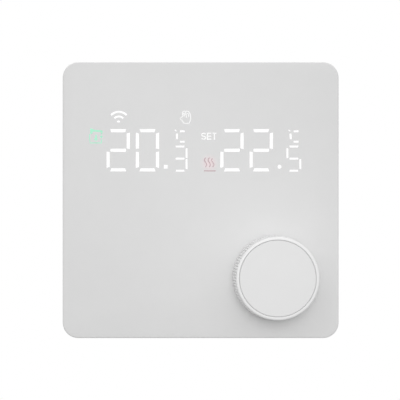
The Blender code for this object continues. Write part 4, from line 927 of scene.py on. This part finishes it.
def temperature(name, node, digits, tenths, point_corner, slant):
    """The lit digits, point and unit in front of one strip of lamps. The point's corner is a share of
    its size, and the slant leans the unit's upright."""
    low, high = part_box(node)
    outlines = []
    for i, digit in enumerate(digits):
        x = low.x + DIGITS_SHIFT + BIG_WIDTH / 2 + i * BIG_PITCH
        z = low.z + BIG_HEIGHT / 2
        outlines += segments(digit, x, z, BIG_WIDTH, BIG_HEIGHT, BIG_STROKE, BIG_GAP)
    x, z = high.x - SMALL_WIDTH / 2, low.z + SMALL_HEIGHT / 2 - TENTHS_DROP
    outlines += segments(tenths, x, z, SMALL_WIDTH, SMALL_HEIGHT, SMALL_STROKE, SMALL_GAP)
    digits_end = low.x + BIG_PITCH + BIG_WIDTH
    point_x = (digits_end + high.x - SMALL_WIDTH) / 2
    point_z = low.z + POINT_RISE
    corner = point_corner * POINT_SIZE
    outlines.append(rounded(POINT_SIZE, POINT_SIZE, corner, (point_x, point_z), POINT_STEPS))
    unit_x, unit_z = high.x - UNIT_ACROSS, high.z - UNIT_DOWN
    tick = [(-1.25, 2.2), (-0.7, 1.75), (-0.9, 1.55), (-1.45, 1.95)]
    outlines.append(set_at(unit_x, unit_z, tick))
    stem = [(-0.95 + slant, 0.9), (-0.35 + slant, 0.9), (-0.35, -0.65), (-0.5, -0.9), (-0.95, -0.75)]
    outlines.append(set_at(unit_x, unit_z, stem))
    bar = [(0.25, 0.28), (1.75, 0.28), (1.75, -0.28), (0.25, -0.28)]
    for level in (UNIT_BAR_RISE, -UNIT_BAR_RISE):
        outlines.append(set_at(unit_x, unit_z + level, bar))
    lit(name, white_light, outlines)


def radio_symbol():
    """Two arcs over a dot."""
    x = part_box("room_digit_lamps")[0].x + RADIO_ACROSS
    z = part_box("display_diffuser")[1].z - RADIO_DOWN
    lines = [arc(x, z, radius, *RADIO_ENDS) for radius in RADIO_RADII]
    dot = rounded(0.95 * MM, 0.6 * MM, 0.26 * MM, (x - 0.1 * MM, z + 0.33 * MM), 4)
    lit("radio_symbol_lit", white_light, [dot], lines, RADIO_STROKE)


def manual_symbol():
    """An open hand in outline, for setting by hand."""
    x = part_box("room_digit_lamps")[1].x - HAND_ACROSS
    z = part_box("display_diffuser")[1].z - HAND_DOWN
    outline = [(-0.95, 0.13), (-1.42, -0.03), (-1.57, -0.48), (-1.08, -0.88), (-0.65, -1.44)]
    outline += [(-0.3, -1.87), (0.84, -1.87), (1.23, -1.71), (1.48, -1.2), (1.67, -0.6)]
    outline += [(1.62, 0.61), (1.38, 1.3), (1.06, 1.8), (0.62, 1.97), (0.1, 1.8), (-0.3, 1.93)]
    outline += [(-0.82, 1.75), (-0.97, 1.3), (-0.92, 0.97), (-0.65, 0.57), (-0.95, 0.13)]
    gaps = [
        [(-0.92, 1.36), (-0.22, 1.0)],
        [(0.1, 1.84), (0.0, 1.25), (-0.25, 0.95), (-0.32, 0.2)],
        [(0.1, 1.2), (0.3, 0.5), (0.4, -0.15)],
        [(0.35, 1.2), (0.95, 1.15), (1.02, 0.6), (1.1, 0.1)],
    ]
    lines = [set_at(x, z, line) for line in [outline, *gaps]]
    lit("manual_symbol_lit", dim_white_light, lines=lines, width=HAND_STROKE)


def set_label():
    """The word over the wanted temperature's symbol, in single strokes."""
    x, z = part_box("set_digit_lamps")[0].x - SET_ACROSS, SET_HEIGHT
    tall, curl, foot = SET_TALL, SET_TALL / 2, -SET_TALL - SET_OVERHANG
    s_line = arc(0.0, curl, curl, 15, 270, 10) + arc(0.0, -curl, curl, 90, -165, 10)[1:]
    s_stretch, s_left = 1.28, 1.79
    lines = [
        [(across * s_stretch - s_left, up) for across, up in s_line],
        [(-0.61, -foot), (-0.61, foot)],
        [(1.57, tall), (1.57, foot)],
        [(0.98, tall), (2.16, tall)],
    ]
    lines += [[(-0.61, level), (0.6, level)] for level in (tall, 0.0, -tall)]
    placed = [set_at(x, z, line) for line in lines]
    lit("set_label_lit", label_light, lines=placed, width=SET_STROKE)


def room_symbol():
    """A house with a thermometer in it, for the room's own temperature."""
    x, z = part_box("room_digit_lamps")[0].x - ROOM_ACROSS, ROOM_HEIGHT
    roof = [(-1.75, 2.45), (-1.2, 2.3), (-0.4, 1.95), (1.9, 1.75), (2.3, 1.1), (1.2, 1.25)]
    roof += [(-0.75, 1.45), (-1.05, 1.2), (-1.15, 0.7), (-1.75, 0.7)]
    stem = rounded(0.5 * MM, 1.3 * MM, 0.2 * MM, (x + 0.08 * MM, z - 0.2 * MM), 4)
    dot = circle(0.36 * MM, 20, (x + 1.72 * MM, z - 0.22 * MM))
    outlines = [set_at(x, z, roof), stem, dot, circle(0.5 * MM, 24, (x, z - 0.9 * MM))]
    walls = [
        [(-1.9, 0.6), (-1.95, -0.6), (-1.8, -2.12), (1.75, -2.12)],
        [(1.72, -2.2), (1.72, -1.0)],
        [(1.75, 1.35), (1.75, 0.5)],
    ]
    placed = [set_at(x, z, wall) for wall in walls]
    lit("room_symbol_lit", mint_light, outlines, placed, ROOM_STROKE)


def heating_place():
    """The middle of the heating symbol."""
    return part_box("set_digit_lamps")[0].x - HEATING_ACROSS, HEATING_HEIGHT


def heating_symbol():
    """Three rising waves over a line, for heating."""
    x, z = heating_place()
    lines = []
    for column, foot, top in ((-1.13, -1.15, 1.75), (0.02, -1.15, 1.8), (1.1, -1.15, 1.55)):
        wave = []
        for i in range(HEATING_STEPS + 1):
            up = foot + (top - foot) * i / HEATING_STEPS
            turn = math.pi * (up + HEATING_CREST) / HEATING_HALF_WAVE
            wave.append((column + HEATING_SWAY * math.cos(turn), up))
        lines.append(set_at(x, z, wave))
    lines.append(set_at(x, z, [(-1.6, -2.35), (2.05, -2.35)]))
    lit("heating_symbol_lit", heating_light, lines=lines, width=HEATING_STROKE)


def white_light():
    """White light through the thinned plate."""
    return lit_window("light_white_through_abs", PURE_WHITE, 1.05)


def dim_white_light():
    """The same light through a finer symbol, which is a little dimmer."""
    return lit_window("light_dim_white_through_abs", PURE_WHITE, 0.93)


def label_light():
    """The same light through the label's letters."""
    return lit_window("light_label_white_through_abs", PURE_WHITE, 0.99)


def mint_light():
    """The room symbol's green-tinted light."""
    return lit_window("light_mint_through_abs", linear("#B2F0D2"), 1.0)


def heating_light():
    """The heating symbol's dull red light, deeper than the glow round it."""
    return lit_window("light_red_through_abs", linear("#C9B6B9"), 1.0)


def display():
    """Everything that shines through the plate, and the film, cells and lamps behind it."""
    temperature("room_temperature_lit", "room_digit_lamps", "20", "3", point_corner=0.08, slant=0.0)
    temperature("set_temperature_lit", "set_digit_lamps", "22", "5", point_corner=0.48, slant=-0.12)
    radio_symbol()
    manual_symbol()
    set_label()
    room_symbol()
    heating_symbol()
    for node in ("display_diffuser", "segment_reflector", "room_digit_lamps", "set_digit_lamps"):
        painted(node)


# Knob -----------------------------------------------------------------------------------------


def knurled_ring(radius, depth, y, centre):
    """A ring of broad ridges with sharp valleys between them."""
    points = []
    count = KNURL_COUNT * KNURL_STEPS
    for i in range(count):
        angle = 2 * math.pi * i / count
        across = (i % KNURL_STEPS) / KNURL_STEPS
        local = radius - depth * (1 - math.sin(math.pi * across) ** KNURL_CREST)
        x, z = centre[0] + local * math.cos(angle), centre[1] + local * math.sin(angle)
        points.append((x, y, z))
    return points


def knob_shell(centre):
    """The knurled skirt with its rim, its recess for the face disc and its hub."""
    low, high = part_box("knob_shell")
    front, back = low.y, high.y
    base = (high.x - low.x) / 2
    tip = base - KNOB_LEAN
    recess_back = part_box("knob_face")[1].y + RECESS_GAP
    cavity = recess_back + KNOB_FRONT_WALL
    hub_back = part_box("encoder_bushing")[0].y - HUB_CLEARANCE
    recess = GROOVE_RADIUS + GROOVE_GAP / 2

    def skirt(y):
        return tip + (base - tip) * (y - front) / (back - front)

    plain = [
        (HUB_RADIUS, hub_back),
        (HUB_RADIUS, cavity),
        (skirt(cavity) - SKIRT_WALL, cavity),
        (skirt(back) - SKIRT_WALL, back),
        (skirt(back) - KNURL_DEPTH - BASE_EDGE, back),
        (skirt(back) - KNURL_DEPTH, back - BASE_EDGE),
    ]
    rings = [knurled_ring(radius, 0.0, y, centre) for radius, y in plain]
    knurl_back, knurl_front = back - KNURL_MARGIN, front + RIM_ROUND + KNURL_MARGIN / 2
    for row in range(KNURL_ROWS):
        y = knurl_back + (knurl_front - knurl_back) * row / (KNURL_ROWS - 1)
        rings.append(knurled_ring(skirt(y), KNURL_DEPTH, y, centre))
    for step in range(EDGE_STEPS + 1):
        angle = math.pi / 2 * step / EDGE_STEPS
        radius = tip - RIM_ROUND * (1 - math.cos(angle))
        rings.append(knurled_ring(radius, 0.0, front + RIM_ROUND * (1 - math.sin(angle)), centre))
    inside = [(recess + GROOVE_EDGE, front), (recess, front + GROOVE_EDGE), (recess, recess_back)]
    rings += [knurled_ring(radius, 0.0, y, centre) for radius, y in inside]
    shell = skin("knob_shell_knurled", rings)
    combine(shell, "DIFFERENCE", [d_shape(centre, cavity, hub_back + CUT_PAST)])
    soften(shell, KNURL_SMOOTH_ANGLE)
    hand_over(shell, body_of("knob_shell"), moulded_knob_abs, "knob_shell")


def knob_disc(centre):
    """The face disc let into the shell."""
    low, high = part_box("knob_face")
    radius = GROOVE_RADIUS - GROOVE_GAP / 2
    profile = [
        (radius, high.y),
        (radius, low.y + GROOVE_EDGE),
        (radius - GROOVE_BULGE[0] * GROOVE_EDGE, low.y + GROOVE_BULGE[1] * GROOVE_EDGE),
        (radius - GROOVE_EDGE, low.y),
    ]
    rings = [at_depth(circle(size, DISC_SIDES, centre), y) for size, y in profile]
    disc = skin("knob_face_disc", rings)
    hand_over(soften(disc), body_of("knob_face"), moulded_disc_abs, "knob_face")


def knob():
    """The knurled shell, its face disc, and the shaft and ring spring behind them."""
    low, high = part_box("knob_face")
    centre = ((low.x + high.x) / 2, (low.z + high.z) / 2)
    knob_shell(centre)
    knob_disc(centre)
    finished("hub_spring", FINE_EDGE)
    painted("encoder_shaft")


def d_shape(centre, front, back):
    """The shaft's D-shaped bore."""
    shaft_low, shaft_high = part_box("encoder_shaft")
    radius = (shaft_high.x - shaft_low.x) / 2 + BORE_GAP
    outline = circle(radius, ROUND_SIDES, centre)
    points = [(x, min(z, centre[1] + BORE_FLAT)) for x, z in outline]
    return skin("shape", [at_depth(points, front), at_depth(points, back)])


# Boards, encoder and power parts --------------------------------------------------------------


def front_boards():
    """The main board and what is on it."""
    parts = ("wireless_module", "control_chip", "buzzer", "room_sensor", "pin_header")
    for node in ("main_board", *parts):
        finished(node, BOARD_EDGE)


def encoder():
    """The push-and-turn encoder behind the knob."""
    for node in ("encoder_bushing", "encoder_cap", "encoder_base", "detent_rotor", "switch_plunger"):
        finished(node, FINE_EDGE)
    for node in ("detent_spring", "switch_dome"):
        painted(node)


def frames():
    """The mounting frame and the front unit's inner back cover."""
    finished("mounting_frame", BLOCK_EDGE, whole_faces=False)
    finished("inner_back_cover", COVER_EDGE)


def rear_housing():
    """The tub in the wall box."""
    finished("rear_housing", BLOCK_EDGE, whole_faces=False)


def power_parts():
    """The power board and the parts on it."""
    for node in ("power_board", "header_socket"):
        finished(node, BOARD_EDGE)
    for node in ("relay", "transformer", "film_capacitor", "varistor"):
        finished(node, CASE_EDGE)
    for node in ("smoothing_capacitor", "fuse"):
        finished(node, CAN_EDGE)


def terminals():
    """The terminal block, its clamps and its screws."""
    finished("terminal_block", BLOCK_EDGE)
    for i in range(1, TERMINAL_COUNT + 1):
        finished(f"wire_clamp_{i}", BLOCK_EDGE)
        finished(f"terminal_screw_{i}", BLOCK_EDGE)


def screws():
    """Board, housing and wall-box screws."""
    for across in ("left", "right"):
        for level in ("upper", "lower"):
            finished(f"board_screw_{level}_{across}", BOARD_EDGE)
            finished(f"housing_screw_{level}_{across}", BOARD_EDGE)
        finished(f"box_screw_{across}", COVER_EDGE)


# Stage ----------------------------------------------------------------------------------------


def floor():
    """A pale floor well below, which runs out into the white of the room."""
    shape = bmesh.new()
    bmesh.ops.create_circle(shape, cap_ends=True, segments=FLOOR_SIDES, radius=FLOOR_REACH)
    thing = new_object("floor", shape)
    thing.location.z = CAD_BOX[0].z - FLOOR_DROP
    material = new_material("paper_white_matt")
    place = add(material, "TexCoord").outputs["Object"]
    paper = add(material, "TexNoise", {"Vector": place, "Scale": 40.0, "Detail": 4.0})
    tone = add(material, "ValToRGB", {"Fac": paper.outputs["Fac"]})
    blend_stops(tone, [(0.3, linear("#C6C6C5")), (0.7, linear("#CACAC9"))])
    matt = add(material, "BsdfPrincipled", {"Base Color": tone.outputs["Color"], "Roughness": 0.9})
    clear = add(material, "BsdfTransparent")
    distance = add(material, "VectorMath", {0: place}, operation="LENGTH")
    fade = add(
        material,
        "MapRange",
        {"Value": distance.outputs["Value"], "From Min": FLOOR_FADE, "From Max": FLOOR_REACH},
        interpolation_type="SMOOTHSTEP",
    )
    mixed = add(
        material,
        "MixShader",
        {0: fade.outputs["Result"], 1: matt.outputs["BSDF"], 2: clear.outputs["BSDF"]},
    )
    add(material, "OutputMaterial", {"Surface": mixed.outputs["Shader"]})
    thing.data.materials.append(material)


def room_light():
    """A white room whose light comes mostly from above."""
    world = bpy.data.worlds.new("white_room")
    world.use_nodes = True
    world.node_tree.nodes.clear()
    place = add(world, "TexCoord").outputs["Generated"]
    axes = add(world, "SeparateXYZ", {"Vector": place})
    level = add(world, "MapRange", {
        "Value": axes.outputs["Z"],
        "From Min": -1.0,
        "From Max": 1.0,
        "To Min": LIGHT_BELOW,
        "To Max": LIGHT_ABOVE,
    })
    lighting = add(world, "Background", {"Color": PURE_WHITE, "Strength": level.outputs["Result"]})
    seen = add(world, "Background", {"Color": PURE_WHITE, "Strength": 1.0})
    path = add(world, "LightPath")
    mixed = add(world, "MixShader", {
        0: path.outputs["Is Camera Ray"],
        1: lighting.outputs["Background"],
        2: seen.outputs["Background"],
    })
    add(world, "OutputWorld", {"Surface": mixed.outputs["Shader"]})
    bpy.context.scene.world = world


def lamp(name, kind, place, aim, power, **settings):
    """A lamp turned towards a point."""
    data = bpy.data.lights.new(name, kind)
    data.energy = power
    for setting, value in settings.items():
        setattr(data, setting, value)
    thing = bpy.data.objects.new(name, data)
    bpy.context.scene.collection.objects.link(thing)
    thing.location = place
    thing.rotation_euler = (Vector(aim) - Vector(place)).to_track_quat("-Z", "Y").to_euler()


def camera():
    """A level view square on to the plate, from a little below its middle."""
    sizes = bpy.context.scene.thermostat_sizes
    plate_low, plate_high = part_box("front_cover")
    data = bpy.data.cameras.new("camera")
    data.sensor_width = SENSOR_WIDTH
    data.lens = data.sensor_width * sizes.view_distance / sizes.view_field
    data.shift_y = sizes.view_drop / sizes.view_field
    eye = bpy.data.objects.new("camera", data)
    bpy.context.scene.collection.objects.link(eye)
    middle = (plate_low.z + plate_high.z) / 2
    eye.location = (-VIEW_LEFT, plate_low.y - sizes.view_distance, middle - sizes.view_drop)
    eye.rotation_euler = (math.pi / 2, 0.0, 0.0)
    bpy.context.scene.camera = eye


def stage():
    """Floor, room light, soft boxes and camera."""
    floor()
    room_light()
    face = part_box("front_cover")[0].y
    low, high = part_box("knob_face")
    knob_x, knob_z = (low.x + high.x) / 2, (low.z + high.z) / 2
    aim = (0.0, face, 0.0)
    lamp("front_soft_box", "AREA", SOFT_BOX_PLACE, aim, SOFT_BOX_POWER, size=SOFT_BOX_SIZE)
    lamp(
        "knob_accent_lamp",
        "SPOT",
        (knob_x - ACCENT_LEFT, -ACCENT_FRONT, knob_z + ACCENT_RISE),
        (knob_x, face, knob_z + ACCENT_AIM_RISE),
        ACCENT_POWER,
        spot_size=ACCENT_ANGLE,
        spot_blend=1.0,
        shadow_soft_size=ACCENT_SIZE,
    )
    bpy.context.scene.view_settings.view_transform = "Standard"
    camera()


# Add-on ---------------------------------------------------------------------------------------


class ThermostatSizes(bpy.types.PropertyGroup):
    """Sizes that a user may change."""

    plate_corner: bpy.props.FloatProperty(
        name="Plate corner", description="Radius of the plate's corners",
        default=4.9 * MM, unit="LENGTH",
    )
    plate_edge: bpy.props.FloatProperty(
        name="Plate edge", description="Radius round the face's edge",
        default=0.5 * MM, unit="LENGTH",
    )
    view_distance: bpy.props.FloatProperty(
        name="View distance", description="From the camera to the plate",
        default=0.255, unit="LENGTH",
    )
    view_field: bpy.props.FloatProperty(
        name="View field", description="Width seen at the plate",
        default=0.12445, unit="LENGTH",
    )
    view_drop: bpy.props.FloatProperty(
        name="View drop", description="How far the camera is below the middle",
        default=0.0165, unit="LENGTH",
    )


class ThermostatFinish(bpy.types.PropertyGroup):
    """Colours that a user may change."""

    cover_colour: bpy.props.FloatVectorProperty(
        name="Cover", description="Colour of the front cover", subtype="COLOR", size=3,
        default=linear("#DCDCDC")[:3],
    )
    knob_colour: bpy.props.FloatVectorProperty(
        name="Knob", description="Colour of the knob's shell", subtype="COLOR", size=3,
        default=linear("#E8E8E8")[:3],
    )
    disc_colour: bpy.props.FloatVectorProperty(
        name="Knob face", description="Colour of the disc in the knob", subtype="COLOR", size=3,
        default=linear("#E0E0E0")[:3],
    )


class THERMOSTAT_OT_front_cover(bpy.types.Operator):
    """Build the front cover"""

    bl_idname = "thermostat.front_cover"
    bl_label = "Front cover"

    def execute(self, context):
        front_cover()
        return {"FINISHED"}


class THERMOSTAT_OT_display(bpy.types.Operator):
    """Build the lit display and finish the parts behind it"""

    bl_idname = "thermostat.display"
    bl_label = "Display"

    def execute(self, context):
        display()
        return {"FINISHED"}


class THERMOSTAT_OT_knob(bpy.types.Operator):
    """Build the knob"""

    bl_idname = "thermostat.knob"
    bl_label = "Knob"

    def execute(self, context):
        knob()
        return {"FINISHED"}


class THERMOSTAT_OT_front_boards(bpy.types.Operator):
    """Finish the main board and what is on it"""

    bl_idname = "thermostat.front_boards"
    bl_label = "Main board"

    def execute(self, context):
        front_boards()
        return {"FINISHED"}


class THERMOSTAT_OT_encoder(bpy.types.Operator):
    """Finish the encoder's pieces"""

    bl_idname = "thermostat.encoder"
    bl_label = "Encoder"

    def execute(self, context):
        encoder()
        return {"FINISHED"}


class THERMOSTAT_OT_frames(bpy.types.Operator):
    """Finish the mounting frame and the inner back cover"""

    bl_idname = "thermostat.frames"
    bl_label = "Mounting frame and inner cover"

    def execute(self, context):
        frames()
        return {"FINISHED"}


class THERMOSTAT_OT_rear_housing(bpy.types.Operator):
    """Finish the rear housing"""

    bl_idname = "thermostat.rear_housing"
    bl_label = "Rear housing"

    def execute(self, context):
        rear_housing()
        return {"FINISHED"}


class THERMOSTAT_OT_power_parts(bpy.types.Operator):
    """Finish the power board and its parts"""

    bl_idname = "thermostat.power_parts"
    bl_label = "Power parts"

    def execute(self, context):
        power_parts()
        return {"FINISHED"}


class THERMOSTAT_OT_terminals(bpy.types.Operator):
    """Finish the terminal block, clamps and clamp screws"""

    bl_idname = "thermostat.terminals"
    bl_label = "Terminals"

    def execute(self, context):
        terminals()
        return {"FINISHED"}


class THERMOSTAT_OT_screws(bpy.types.Operator):
    """Build the screws"""

    bl_idname = "thermostat.screws"
    bl_label = "Screws"

    def execute(self, context):
        screws()
        return {"FINISHED"}


class THERMOSTAT_OT_stage(bpy.types.Operator):
    """Build the floor, lights and camera"""

    bl_idname = "thermostat.stage"
    bl_label = "Stage"

    def execute(self, context):
        stage()
        return {"FINISHED"}


OPERATORS = (
    THERMOSTAT_OT_front_cover,
    THERMOSTAT_OT_display,
    THERMOSTAT_OT_knob,
    THERMOSTAT_OT_front_boards,
    THERMOSTAT_OT_encoder,
    THERMOSTAT_OT_frames,
    THERMOSTAT_OT_rear_housing,
    THERMOSTAT_OT_power_parts,
    THERMOSTAT_OT_terminals,
    THERMOSTAT_OT_screws,
    THERMOSTAT_OT_stage,
)


class THERMOSTAT_PT_panel(bpy.types.Panel):
    """Sizes, colours and the building steps"""

    bl_idname = "THERMOSTAT_PT_panel"
    bl_label = "Wall thermostat"
    bl_space_type = "VIEW_3D"
    bl_region_type = "UI"
    bl_category = "Thermostat"

    def draw(self, context):
        layout = self.layout
        for group in (context.scene.thermostat_sizes, context.scene.thermostat_finish):
            for name in group.__annotations__:
                layout.prop(group, name)
        for operator in OPERATORS:
            layout.operator(operator.bl_idname)


CLASSES = (ThermostatSizes, ThermostatFinish, *OPERATORS, THERMOSTAT_PT_panel)


def register():
    """Makes the classes and the scene's settings known to Blender."""
    for made in CLASSES:
        bpy.utils.register_class(made)
    bpy.types.Scene.thermostat_sizes = bpy.props.PointerProperty(type=ThermostatSizes)
    bpy.types.Scene.thermostat_finish = bpy.props.PointerProperty(type=ThermostatFinish)


def unregister():
    """Takes them away again."""
    del bpy.types.Scene.thermostat_finish
    del bpy.types.Scene.thermostat_sizes
    for made in reversed(CLASSES):
        bpy.utils.unregister_class(made)


def main():
    """Builds every piece in order."""
    register()
    for operator in OPERATORS:
        area, name = operator.bl_idname.split(".")
        getattr(getattr(bpy.ops, area), name)()


if __name__ == "__main__":
    main()
